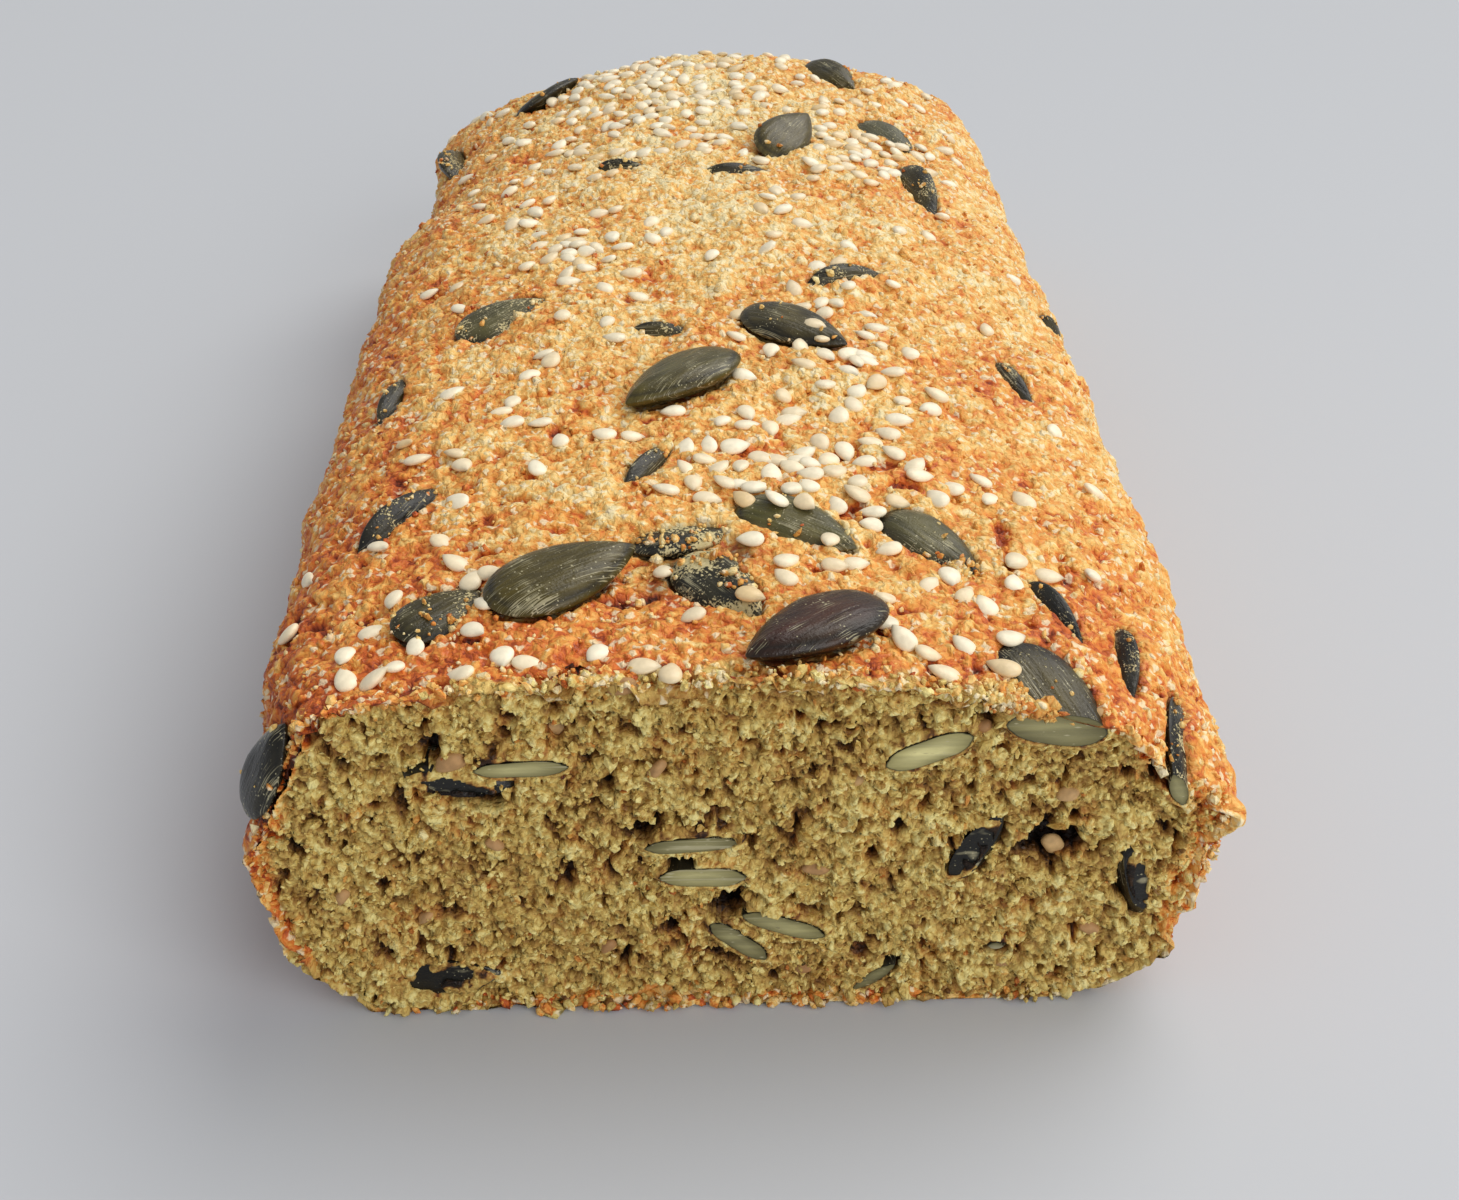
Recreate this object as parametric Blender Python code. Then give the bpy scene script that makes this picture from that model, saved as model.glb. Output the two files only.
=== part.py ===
"""Lentil and teff loaf with one end cut off, pumpkin seeds and sesame in its crust.

The loaf lies along Y with its cut face at the -Y end and its flat base on Z = 0.
Lengths below are millimetres, and distances "along" run from the cut face to the back end.
"""

import math
import random

import bmesh
import bpy
import numpy as np
from mathutils import Matrix, Vector, noise

MM = 0.001

# Loaf, as baked in a tin that widens a little towards its rim
LENGTH = 196.0
RIM_HEIGHT = 26.0
CREST_FRONT = 44.8
CREST_BACK = 44.5
TIN_TAPER = 0.165
FOOT_WIDTH = 7.0
FOOT_HEIGHT = 8.0
END_ROUND = 12.0
END_TURN = 82.0
END_TAPER_REACH = 40.0
END_BULGE = 1.2

# The cut face swells forward at its lower left corner, as across, height, spread and swell
TOE = (-36.0, 0.0, 8.0, 1.3)

# The rounded end draws in towards this height, from this half width and crown height, its foot by a share
AXIS_HEIGHT = 20.0
END_HALF_WIDTH = 51.0
END_CROWN = 24.5
END_FOOT_SHARE = 0.4

# Middle of the cut face, and how far its crumb lies back on average
CUT_CENTRE = (0.0, 0.0, 21.0)
CRUMB_DEPTH = 0.3

# Half widths at the rim, as pairs of distance along and half width
LEFT_HALF = ((0, 51.0), (22, 50.2), (43, 51.0), (84, 51.0), (108, 50.8), (131, 50.5), (144, 47.5),
             (160, 46.5), (176, 48.5), (196, 49.5))
RIGHT_HALF = ((0, 50.6), (4, 51.8), (15, 53.3), (60, 53.3), (111, 53.0), (124, 51.8), (165, 51.0),
              (196, 50.0))

# Fullness of the crown, as pairs of distance along and power: 2 is an ellipse, more is squarer
LEFT_FULLNESS = ((0, 3.3), (120, 2.4), (150, 1.9), (190, 1.55))
RIGHT_FULLNESS = ((0, 1.9), (196, 2.2))

# Dents of the crust's front corners, as across, along, height, spread and depth
DENTS = ((-50.0, 5.0, 33.5, 8.0, 3.0), (46.5, -1.0, 34.5, 6.5, 2.6))

# Crags of the crust and the crumb, as pairs of grain and height
CRUST_CRAGS = ((15.0, 1.1), (6.0, 0.7))
CRUMB_CRAGS = ((7.0, 1.1), (3.5, 0.7))

# Mesh counts of the loaf
BASE_STEPS = 6
WALL_STEPS = 6
WALL_SPACING_POWER = 1.4
CROWN_STEPS = 20
ROWS = 27
END_ROWS = 6
CUT_RINGS = (0.93, 0.78, 0.6, 0.4, 0.2)
END_RINGS = (0.72, 0.4)

# Pumpkin seed: its width and thickness as shares of its length, its outline's widening and point, the
# flat ring and the peak of each side, and the room round it in its socket
SEED_SLENDERNESS = 0.54
SEED_FATNESS = 0.19
SEED_WIDENING = 1.128
SEED_POINT = 0.4
SEED_RING = 0.7
SEED_RING_HEIGHT = 0.8
SEED_PEAK = -0.05
SEED_SIDES = 8
SEED_CLEARANCE = 0.35

# An open socket flares to this share of the seed's outline, at this distance in front of it and aside
OPEN_FLARE = 1.1
OPEN_REACH = 6.0
OPEN_ASIDE = -4.5

# Sesame seed, and where it may lie: its greatest distance across, its nearest to the cut and the back
# end, and the shares of a pumpkin seed's length and the room that it leaves round it
SESAME_SIZE = (3.3, 2.1, 1.1)
SESAME_TAPER = 0.35
SESAME_COUNT = 118
SESAME_GAP = 0.8
SESAME_SEED = 11
SESAME_TRIES = 4000
SESAME_ACROSS = 47
SESAME_FROM_CUT = 2.2
SESAME_FROM_END = 9
SESAME_SHARE_OF_SEED = 0.42
SESAME_ROOM = 1.9

# Patches where sesame lies, as across, along, spread across, spread along and share
SESAME_PATCHES = (
    (8, 42, 13, 15, 0.26),
    (14, 72, 8, 10, 0.10),
    (-17, 103, 9, 9, 0.08),
    (2, 158, 22, 24, 0.24),
    (2, 5, 30, 3, 0.12),
    (0, 95, 40, 75, 0.20),
)

# Pumpkin seeds on the crown: number, across, along, turn of the tip, length, lean, nose, rise
CROWN_SEEDS = (
    (1, -17.1, 17.8, 33, 17.8, 6, 0, 1.0),
    (2, 8.1, 7.6, 217, 17.6, 10, 0, 1.1),
    (3, -4.8, 60.8, 226, 18.8, 10, 0, 1.1),
    (4, -4.6, 26.6, 12, 12.5, -14, 0, -0.9),
    (5, 7.8, 28.5, -32, 14.8, 12, 0, -0.5),
    (6, 22.6, 27.4, -48, 14.0, 8, 0, -0.6),
    (7, 32.4, 1.2, -62, 19.0, 17, -10, -1.9),
    (8, 34.6, 16.4, -66, 13.5, 78, 0, -2.6),
    (9, 41.1, 11.8, -94, 15.0, 74, 0, -2.6),
    (10, 47.7, 3.9, -91.6, 14.4, -25.4, -10.1, -1.8),
    (11, 10.4, 75.6, -34, 15.8, 6, 0, 0.6),
    (12, -28.4, 83.0, 36, 14.5, 16, 0, -0.5),
    (13, -36.4, 35.6, 60, 17.0, 76, 0, -2.6),
    (14, -29.4, 14.2, 42, 12.0, 14, -8, -0.5),
    (15, 13.2, 144.4, 64, 15.9, 20, 9, 1.2),
    (16, 23.6, 181.5, -55, 13.0, 20, 0, 0.1),
    (17, -28.2, 179.9, 27.5, 14.2, -23.7, 5.6, 0.4),
    (18, -44.4, 168.8, 78, 14.8, 82, -20, -0.2),
    (19, 33.4, 132.5, -74, 17.5, 62, 0, -1.7),
    (20, 31.0, 154.0, -52, 14.0, 24, 0, -1.4),
    (21, 5.6, 131.0, 6, 15.0, 74, 0, -2.8),
    (22, 19.6, 93.0, 26, 15.0, 70, 0, -2.7),
    (23, -6.6, 75.6, -4, 10.5, 55, 0, -1.6),
    (24, -41.2, 68.5, 76, 15.0, 78, 0, -2.9),
    (25, -12.8, 134.5, -20, 12.0, 70, 0, -2.2),
    (26, -7.6, 42.4, 62, 15.0, 72, 0, -2.7),
    (27, 39.3, 70.5, -66, 14.0, 76, 0, -2.7),
    (28, -0.9, 16.8, -54, 13.5, 12, 0, -0.3),
)

# Pumpkin seeds in the tin walls: number, side, along, height, turn of the tip, length, lean, rise
WALL_SEEDS = (
    (30, 1, 100.5, 31.0, 24, 10.5, 60, -1.6),
    (31, -1, 52.0, 16.0, 24, 15.0, 18, -0.7),
    (32, -1, 118.0, 21.0, -40, 16.0, 12, -0.5),
    (33, 1, 44.0, 14.0, 70, 15.0, 14, -0.6),
    (34, 1, 136.0, 19.0, -25, 16.0, 10, -0.4),
)

# Pumpkin seed bared at the left front corner, its socket open in front: number, across, along, height,
# bearing and slope of its face, turn of the tip and length
CORNER_SEEDS = (
    (29, -47.1, 3.3, 32.6, -58.6, 24.7, 79.1, 12.3),
)

# Pumpkin seeds in the back end: number, across, height, turn of the tip, length, lean, rise
END_SEEDS = (
    (35, -19.0, 23.0, 30, 16.0, 12, -0.5),
    (36, 24.0, 15.0, -50, 15.0, 16, -0.6),
)

# Pumpkin seeds sliced by the knife, as number, across and height at the knife's plane, depth of the
# middle, roll, yaw, length and thickness
SLICED_SEEDS = (
    (1, -21.1, 34.4, 2.0, 2, 6, 17.4, 1.9),
    (2, -4.3, 23.7, 1.6, 4, -8, 18.0, 1.8),
    (3, -3.2, 19.1, 2.2, -1, 5, 16.8, 2.5),
    (4, 0.6, 9.5, 2.0, -43, 8, 15.2, 2.2),
    (5, 5.3, 11.8, 0.6, -22, 12, 18.0, 2.2),
    (6, 19.4, 35.7, 2.0, 24, -10, 17.0, 3.0),
    (7, 15.6, 3.7, 5.4, 41, 8, 14.0, 2.0),
    (8, 28.4, 8.0, 6.9, 4, 176, 15.0, 2.6),
)

# Pumpkin seeds whose skin shows in the cut face, as number, across, height and depth of the middle,
# turn, length and lean
BARED_SEEDS = (
    (9, -27.2, 32.8, 1.9, -12, 12.0, -64),
    (10, 25.5, 22.1, 1.0, 66, 10.5, 34),
    (11, 42.2, 15.8, 2.6, -74, 13.0, 62),
    (12, -31.3, 4.0, 0.95, 8, 12.5, 8),
)

COLOURS = {
    "crust": ((0.55, 0.27, 0.09), 0.8),
    "pumpkin_seed": ((0.055, 0.06, 0.03), 0.35),
}


def clear_scene():
    """Remove every object of the start-up scene."""
    for old in list(bpy.data.objects):
        bpy.data.objects.remove(old, do_unlink=True)


def lerp(a, b, t):
    return a + (b - a) * t


def at_station(stations, along):
    """Value at a distance along, read between its stations."""
    places = np.array(stations, float)
    return np.interp(along, places[:, 0], places[:, 1])


def half_width(side, along):
    """Half width of the loaf at its rim, on the left (-1) or right (1) side."""
    return at_station(LEFT_HALF if side < 0 else RIGHT_HALF, along)


def crest(along):
    return lerp(CREST_FRONT, CREST_BACK, np.clip(along / LENGTH, 0.0, 1.0))


def fullness(side, along):
    return at_station(LEFT_FULLNESS if side < 0 else RIGHT_FULLNESS, along)


def wall_x(side, along, height):
    """Sideways place of the tin wall at a height below the rim."""
    foot = np.clip((FOOT_HEIGHT - height) / FOOT_HEIGHT, 0.0, 1.0)
    inset = TIN_TAPER * (RIM_HEIGHT - height) + FOOT_WIDTH * foot ** 1.5
    return side * (half_width(side, along) - inset)


def crown_point(side, along, angle):
    """Point of the crown: angle 0 is the rim and a right angle is the crest."""
    power = 2.0 / fullness(side, along)
    x = side * half_width(side, along) * np.cos(angle) ** power
    z = RIM_HEIGHT + (crest(along) - RIM_HEIGHT) * np.sin(angle) ** power
    return x, z


def section(along):
    """Closed outline of the loaf at one distance along, from the base's left corner, as x and z."""
    points = []
    left_foot = wall_x(-1, along, 0.0)
    right_foot = wall_x(1, along, 0.0)
    for step in range(BASE_STEPS):
        points.append((lerp(left_foot, right_foot, step / BASE_STEPS), 0.0))
    for step in range(WALL_STEPS):
        height = RIM_HEIGHT * (step / WALL_STEPS) ** WALL_SPACING_POWER
        points.append((wall_x(1, along, height), height))
    for step in range(CROWN_STEPS + 1):
        turn = math.pi * step / CROWN_STEPS
        side = 1 if turn <= math.pi / 2 else -1
        angle = turn if side > 0 else math.pi - turn
        points.append(crown_point(side, along, min(max(angle, 0.0), math.pi / 2)))
    for step in range(WALL_STEPS - 1, 0, -1):
        height = RIM_HEIGHT * (step / WALL_STEPS) ** WALL_SPACING_POWER
        points.append((wall_x(-1, along, height), height))
    return np.array(points, float)


def pulled_in(outline, inset):
    """The outline drawn in towards the loaf's axis, as its end rounds off."""
    result = outline.copy()
    result[:, 0] *= 1.0 - inset / END_HALF_WIDTH
    rise = outline[:, 1] - AXIS_HEIGHT
    shrink = np.where(rise > 0, inset / END_CROWN, END_FOOT_SHARE * inset / AXIS_HEIGHT)
    result[:, 1] = AXIS_HEIGHT + rise * (1.0 - shrink)
    return result


def leaned(along, height):
    """Distance along, with the foot of the back end drawn in as a tin's end wall is."""
    reach = np.clip((along - (LENGTH - END_TAPER_REACH)) / END_TAPER_REACH, 0.0, 1.0)
    weight = reach * reach * (3.0 - 2.0 * reach)
    return along - weight * TIN_TAPER * np.clip(RIM_HEIGHT - height, 0.0, None)


def loaf_grid():
    """Rings of points from the cut face to the edge of the back end, as an array."""
    rings = []
    body = LENGTH - END_ROUND
    for row in range(ROWS):
        along = body * row / (ROWS - 1)
        rings.append((along, section(along)))
    for row in range(1, END_ROWS + 1):
        turn = math.radians(END_TURN) * row / END_ROWS
        along = body + END_ROUND * math.sin(turn)
        rings.append((along, pulled_in(section(along), END_ROUND * (1.0 - math.cos(turn)))))
    grid = np.empty((len(rings), len(rings[0][1]), 3))
    for index, (along, outline) in enumerate(rings):
        grid[index, :, 0] = outline[:, 0]
        grid[index, :, 1] = leaned(along, outline[:, 1])
        grid[index, :, 2] = outline[:, 1]
    return grid


def crags(point, layers):
    """Height of the rough surface at a point, from layers of noise."""
    total = 0.0
    for grain, height in layers:
        total += height * noise.noise(Vector(point) / grain)
    return total


def dent(point):
    """Depth of the dents at a point of the crust."""
    total = 0.0
    for across, along, height, spread, depth in DENTS:
        apart = (point[0] - across) ** 2 + (point[1] - along) ** 2 + (point[2] - height) ** 2
        total += depth * math.exp(-apart / spread ** 2)
    return total


def cut_bow(across, height):
    """How far the cut face lies behind the knife's plane at a place in it."""
    toe_across, toe_height, spread, swell = TOE
    distance = ((across - toe_across) ** 2 + (height - toe_height) ** 2) / spread ** 2
    return -swell * np.exp(-distance)


def grid_normals(grid):
    """Outward direction at each point of the rings."""
    around = np.roll(grid, -1, axis=1) - np.roll(grid, 1, axis=1)
    length = np.gradient(grid, axis=0)
    normal = np.cross(length, around)
    return normal / np.linalg.norm(normal, axis=2, keepdims=True)


def ring_towards(ring, centre, share):
    return centre + (ring - centre) * share


def to_metres(point):
    """Millimetres from the cut face to metres from the middle of the loaf's length."""
    x, along, z = point
    return Vector((x * MM, (along - LENGTH / 2) * MM, z * MM))


def bare_loaf():
    """The loaf without seeds: craggy crust, rough cut face, flat base."""
    grid = loaf_grid()
    normals = grid_normals(grid)
    rows, columns = grid.shape[:2]
    for row in range(rows):
        for column in range(columns):
            if grid[row, column, 2] < 0.5:
                continue
            lift = crags(grid[row, column], CRUST_CRAGS) - dent(grid[row, column])
            grid[row, column] += normals[row, column] * lift
    grid[:, :, 2] = np.maximum(grid[:, :, 2], 0.0)
    grid[0, :, 1] = cut_bow(grid[0, :, 0], grid[0, :, 2])

    body = bmesh.new()
    rings = [[body.verts.new(to_metres(point)) for point in ring] for ring in grid]
    for share in CUT_RINGS:
        inner = ring_towards(grid[0], np.array(CUT_CENTRE), share)
        for point in inner:
            point[1] = cut_bow(point[0], point[2]) + max(0.0, CRUMB_DEPTH + crags(point, CRUMB_CRAGS))
        rings.insert(0, [body.verts.new(to_metres(point)) for point in inner])
    end_centre = grid[-1].mean(axis=0)
    for share in END_RINGS:
        inner = ring_towards(grid[-1], end_centre, share)
        for point in inner:
            point[1] += END_BULGE * (1.0 - share) + crags(point, CRUST_CRAGS) * 0.6
        rings.append([body.verts.new(to_metres(point)) for point in inner])

    for first, second in zip(rings, rings[1:]):
        for index in range(columns):
            after = (index + 1) % columns
            body.faces.new((first[index], first[after], second[after], second[index]))
    body.faces.new(list(reversed(rings[0])))
    body.faces.new(rings[-1])
    bmesh.ops.triangulate(body, faces=body.faces)
    bmesh.ops.recalc_face_normals(body, faces=body.faces)
    mesh = bpy.data.meshes.new("loaf")
    body.to_mesh(mesh)
    body.free()
    loaf = bpy.data.objects.new("loaf", mesh)
    bpy.context.scene.collection.objects.link(loaf)
    return loaf


def surface_frame(surface, first, second):
    """Point, outward normal and lengthwise direction of a surface function at two parameters."""
    step = 1.5
    centre = np.array(surface(first, second))
    ahead = np.array(surface(first, second + step)) - np.array(surface(first, second - step))
    beside = np.array(surface(first + step, second)) - np.array(surface(first - step, second))
    normal = np.cross(beside, ahead)
    normal /= np.linalg.norm(normal)
    ahead /= np.linalg.norm(ahead)
    centre = centre + normal * (crags(centre, CRUST_CRAGS) - dent(centre))
    return Vector(centre), Vector(normal), Vector(ahead)


def crown_surface(across, along):
    side = 1 if across >= 0 else -1
    share = min(abs(across) / half_width(side, along), 0.9999)
    power = fullness(side, along)
    rise = (1.0 - share ** power) ** (1.0 / power)
    return across, along, RIM_HEIGHT + (crest(along) - RIM_HEIGHT) * rise


def wall_surface(side):
    """Surface function of one tin wall. Its shift runs down the right wall and up the left one."""
    def surface(shift, along):
        height = RIM_HEIGHT - side * shift
        if height <= RIM_HEIGHT:
            return wall_x(side, along, height), along, height
        share = min(1.0, (height - RIM_HEIGHT) / (crest(along) - RIM_HEIGHT))
        angle = math.asin(share ** (fullness(side, along) / 2))
        x, z = crown_point(side, along, angle)
        return x, along, z

    return surface


def seed_pose(centre, normal, ahead, turn, lean, nose, rise):
    """Placement of a seed lying on a surface, its tip turned from across towards ahead."""
    across = ahead.cross(normal).normalized()
    ahead = normal.cross(across).normalized()
    angle = math.radians(turn)
    tip = across * math.cos(angle) + ahead * math.sin(angle)
    width = normal.cross(tip)
    flat = Matrix((tip, width, normal)).transposed()
    tilt = Matrix.Rotation(math.radians(lean), 3, "X") @ Matrix.Rotation(math.radians(-nose), 3, "Y")
    pose = (flat @ tilt).to_4x4()
    pose.translation = centre + normal * rise
    return pose


def seed_outline(length, share):
    """Outline of a pumpkin seed seen from above: round behind, pointed at its +X tip."""
    points = []
    for index in range(SEED_SIDES):
        angle = 2.0 * math.pi * index / SEED_SIDES
        bulge = SEED_WIDENING * math.sin(angle) * abs(math.sin(angle / 2)) ** SEED_POINT
        points.append((share * length / 2 * math.cos(angle), share * SEED_SLENDERNESS * length / 2 * bulge))
    return points


def seed_mesh(length, thickness, grown, opened):
    """A pumpkin seed as a closed lens with a sharp rim, in millimetres, grown all round. Opened, its
    face reaches far out, so that it cuts an open socket."""
    body = bmesh.new()
    stretch = (length + 2 * grown) / length
    widen = (SEED_SLENDERNESS * length + 2 * grown) / (SEED_SLENDERNESS * length * stretch)
    half = thickness / 2 + grown

    def corner(x, y, z):
        return body.verts.new((x * stretch, y * stretch * widen, z))

    rim = [corner(x, y, 0.0) for x, y in seed_outline(length, 1.0)]
    for side in (1, -1):
        flared = opened and side > 0
        share = OPEN_FLARE if flared else SEED_RING
        reach = OPEN_REACH if flared else 0.0
        aside = OPEN_ASIDE if flared else 0.0
        height = side * half * SEED_RING_HEIGHT + reach
        shoulder = [corner(x, y + aside, height) for x, y in seed_outline(length, share)]
        peak = corner(SEED_PEAK * length, aside, side * half + reach)
        for index in range(SEED_SIDES):
            after = (index + 1) % SEED_SIDES
            body.faces.new((rim[index], rim[after], shoulder[after]))
            body.faces.new((rim[index], shoulder[after], shoulder[index]))
            body.faces.new((shoulder[index], shoulder[after], peak))
    bmesh.ops.recalc_face_normals(body, faces=body.faces)
    return body


def add_seed(name, pose, length, thickness, grown, opened, material):
    """One pumpkin seed, cut at the knife's plane if it crosses it; grown makes its socket's cutter."""
    body = seed_mesh(length, thickness, grown, opened)
    bmesh.ops.transform(body, matrix=pose, verts=body.verts)
    if not grown:
        cut = bmesh.ops.bisect_plane(body, geom=body.verts[:] + body.edges[:] + body.faces[:],
                                     plane_co=(0.0, 0.0, 0.0), plane_no=(0.0, -1.0, 0.0), clear_outer=True)
        rim = [item for item in cut["geom_cut"] if isinstance(item, bmesh.types.BMEdge)]
        if rim:
            bmesh.ops.contextual_create(body, geom=rim)
        bmesh.ops.triangulate(body, faces=body.faces)
        bmesh.ops.recalc_face_normals(body, faces=body.faces)
    for vertex in body.verts:
        vertex.co = to_metres(vertex.co)
    mesh = bpy.data.meshes.new(name)
    body.to_mesh(mesh)
    body.free()
    seed = bpy.data.objects.new(name, mesh)
    if material:
        mesh.materials.append(material)
    return seed


def seed_poses():
    """Name, placement, length and thickness of every pumpkin seed."""
    poses = []

    def keep(kind, number, pose, length, thickness):
        poses.append((f"{kind}_{number:02d}", pose, length, thickness))

    for number, across, along, turn, length, lean, nose, rise in CROWN_SEEDS:
        frame = surface_frame(crown_surface, across, along)
        keep("pumpkin_seed", number, seed_pose(*frame, turn, lean, nose, rise), length, SEED_FATNESS * length)
    for number, side, along, height, turn, length, lean, rise in WALL_SEEDS:
        frame = surface_frame(wall_surface(side), side * (RIM_HEIGHT - height), along)
        keep("pumpkin_seed", number, seed_pose(*frame, turn, lean, 0.0, rise), length, SEED_FATNESS * length)
    for number, across, along, height, bearing, slope, turn, length in CORNER_SEEDS:
        aside, up = math.radians(bearing), math.radians(slope)
        normal = Vector((math.cos(up) * math.sin(aside), -math.cos(up) * math.cos(aside), math.sin(up)))
        centre = Vector((across, along, height))
        pose = seed_pose(centre, normal, Vector((0.0, 0.0, 1.0)), turn, 0.0, 0.0, 0.0)
        keep("pumpkin_seed", number, pose, length, SEED_FATNESS * length)
    for number, across, height, turn, length, lean, rise in END_SEEDS:
        centre = Vector((across, leaned(LENGTH, height) + END_BULGE / 2, height))
        normal = Vector((0.0, 1.0, -TIN_TAPER)).normalized()
        upward = Vector((0.0, TIN_TAPER, 1.0)).normalized()
        pose = seed_pose(centre, normal, upward, turn, lean, 0.0, rise)
        keep("pumpkin_seed", number, pose, length, SEED_FATNESS * length)
    for number, across, height, depth, roll, yaw, length, thickness in SLICED_SEEDS:
        pose = Matrix.Rotation(math.radians(90 + yaw), 4, "Z") @ Matrix.Rotation(math.radians(-roll), 4, "X")
        pose.translation = Vector((across, 0.0, height)) + pose.col[0].to_3d() * (depth / pose.col[0].y)
        keep("cut_seed", number, pose, length, thickness)
    for number, across, height, depth, turn, length, lean in BARED_SEEDS:
        centre = Vector((across, depth, height))
        pose = seed_pose(centre, Vector((0.0, -1.0, 0.0)), Vector((0.0, 0.0, 1.0)), turn, lean, 0.0, 0.0)
        keep("cut_seed", number, pose, length, SEED_FATNESS * length)
    return poses


def sesame_mesh():
    """A sesame seed as a small drop with few faces, in millimetres."""
    body = bmesh.new()
    bmesh.ops.create_icosphere(body, subdivisions=1, radius=1.0)
    for vertex in body.verts:
        taper = 1.0 - SESAME_TAPER * vertex.co.x
        vertex.co = Vector((vertex.co.x * SESAME_SIZE[0] / 2, vertex.co.y * taper * SESAME_SIZE[1] / 2,
                            vertex.co.z * SESAME_SIZE[2] / 2))
    return body


def sesame_places(seed_centres):
    """Places of sesame on the crown, drawn patch by patch and kept clear of each other and the seeds."""
    draw = random.Random(SESAME_SEED)
    places = []
    for across, along, wide, deep, share in SESAME_PATCHES:
        wanted = round(SESAME_COUNT * share)
        found = 0
        for _ in range(SESAME_TRIES):
            if found >= wanted:
                break
            x = draw.gauss(across, wide)
            y = draw.gauss(along, deep)
            if abs(x) > SESAME_ACROSS or y < SESAME_FROM_CUT or y > LENGTH - SESAME_FROM_END:
                continue
            if any((x - px) ** 2 + (y - py) ** 2 < (SESAME_SIZE[0] + SESAME_GAP) ** 2 for px, py in places):
                continue
            if any((x - sx) ** 2 + (y - sy) ** 2 < reach ** 2 for sx, sy, reach in seed_centres):
                continue
            places.append((x, y))
            found += 1
    return places, draw


def join_sesame(loaf, seed_spots):
    """Fuse sesame to the loaf with one union."""
    places, draw = sesame_places(seed_spots)
    grains = bpy.data.collections.new("sesame")
    bpy.context.scene.collection.children.link(grains)
    for index, (x, y) in enumerate(places):
        frame = surface_frame(crown_surface, x, y)
        pose = seed_pose(*frame, draw.uniform(0, 360), draw.uniform(-18, 18), draw.uniform(-12, 12),
                         draw.uniform(0.12, 0.3))
        body = sesame_mesh()
        size = draw.uniform(0.9, 1.1)
        bmesh.ops.transform(body, matrix=pose @ Matrix.Scale(size, 4), verts=body.verts)
        for vertex in body.verts:
            vertex.co = to_metres(vertex.co)
        mesh = bpy.data.meshes.new(f"sesame_{index:03d}")
        body.to_mesh(mesh)
        body.free()
        grains.objects.link(bpy.data.objects.new(mesh.name, mesh))
    apply_boolean(loaf, grains, "UNION", "EXACT")


def apply_boolean(loaf, operand, operation, solver):
    """Apply one Boolean of a whole collection to the loaf and remove the collection's objects."""
    modifier = loaf.modifiers.new(operation.lower(), "BOOLEAN")
    modifier.operation = operation
    modifier.operand_type = "COLLECTION"
    modifier.collection = operand
    modifier.solver = solver
    bpy.context.view_layer.update()
    done = bpy.data.meshes.new_from_object(loaf.evaluated_get(bpy.context.evaluated_depsgraph_get()))
    loaf.modifiers.clear()
    loaf.data = done
    for used in list(operand.objects):
        bpy.data.objects.remove(used, do_unlink=True)
    bpy.data.collections.remove(operand)


def cut_sockets(loaf, poses):
    """Cut the hollow in which each pumpkin seed lies."""
    cutters = bpy.data.collections.new("sockets")
    bpy.context.scene.collection.children.link(cutters)
    bared = {f"pumpkin_seed_{row[0]:02d}" for row in CORNER_SEEDS}
    for name, pose, length, thickness in poses:
        cutter = add_seed("socket_" + name, pose, length, thickness, SEED_CLEARANCE, name in bared, None)
        cutters.objects.link(cutter)
    apply_boolean(loaf, cutters, "DIFFERENCE", "EXACT")


def keep_largest_shell(loaf):
    """Drop loose scraps and fill hollows that fusing has sealed."""
    body = bmesh.new()
    body.from_mesh(loaf.data)
    bmesh.ops.triangulate(body, faces=body.faces)
    bmesh.ops.dissolve_degenerate(body, dist=1e-6, edges=body.edges)
    unseen = set(body.verts)
    shells = []
    while unseen:
        shell = set()
        queue = [unseen.pop()]
        while queue:
            vertex = queue.pop()
            shell.add(vertex)
            for edge in vertex.link_edges:
                other = edge.other_vert(vertex)
                if other in unseen:
                    unseen.remove(other)
                    queue.append(other)
        shells.append(shell)
    shells.sort(key=len, reverse=True)
    scraps = [vertex for shell in shells[1:] for vertex in shell]
    bmesh.ops.delete(body, geom=scraps, context="VERTS")
    bmesh.ops.triangulate(body, faces=body.faces)
    body.to_mesh(loaf.data)
    body.free()


def material(name):
    """A Principled material with the colour and roughness of one part."""
    (red, green, blue), roughness = COLOURS[name]
    made = bpy.data.materials.new(name)
    made.use_nodes = True
    shader = made.node_tree.nodes["Principled BSDF"]
    shader.inputs["Base Color"].default_value = (red, green, blue, 1.0)
    shader.inputs["Roughness"].default_value = roughness
    shader.inputs["Metallic"].default_value = 0.0
    return made


def main():
    clear_scene()
    poses = seed_poses()
    spots = [(pose.translation.x, pose.translation.y, length * SESAME_SHARE_OF_SEED + SESAME_ROOM)
             for _, pose, length, _ in poses if pose.translation.z > RIM_HEIGHT]
    loaf = bare_loaf()
    join_sesame(loaf, spots)
    cut_sockets(loaf, poses)
    keep_largest_shell(loaf)
    loaf.data.materials.clear()
    loaf.data.materials.append(material("crust"))
    skin = material("pumpkin_seed")
    for name, pose, length, thickness in poses:
        seed = add_seed(name, pose, length, thickness, 0.0, False, skin)
        bpy.context.scene.collection.objects.link(seed)


main()
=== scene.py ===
"""Looks of a lentil and teff loaf: fine crust, crumb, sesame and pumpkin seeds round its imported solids.

Lengths are millimetres, and distances "along" run from the cut face to the back end. Only
to_metres turns them into the frame's metres.
"""

import itertools
import math

import bmesh
import bpy
import numpy as np
from mathutils import Matrix, Vector, kdtree, noise


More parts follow.
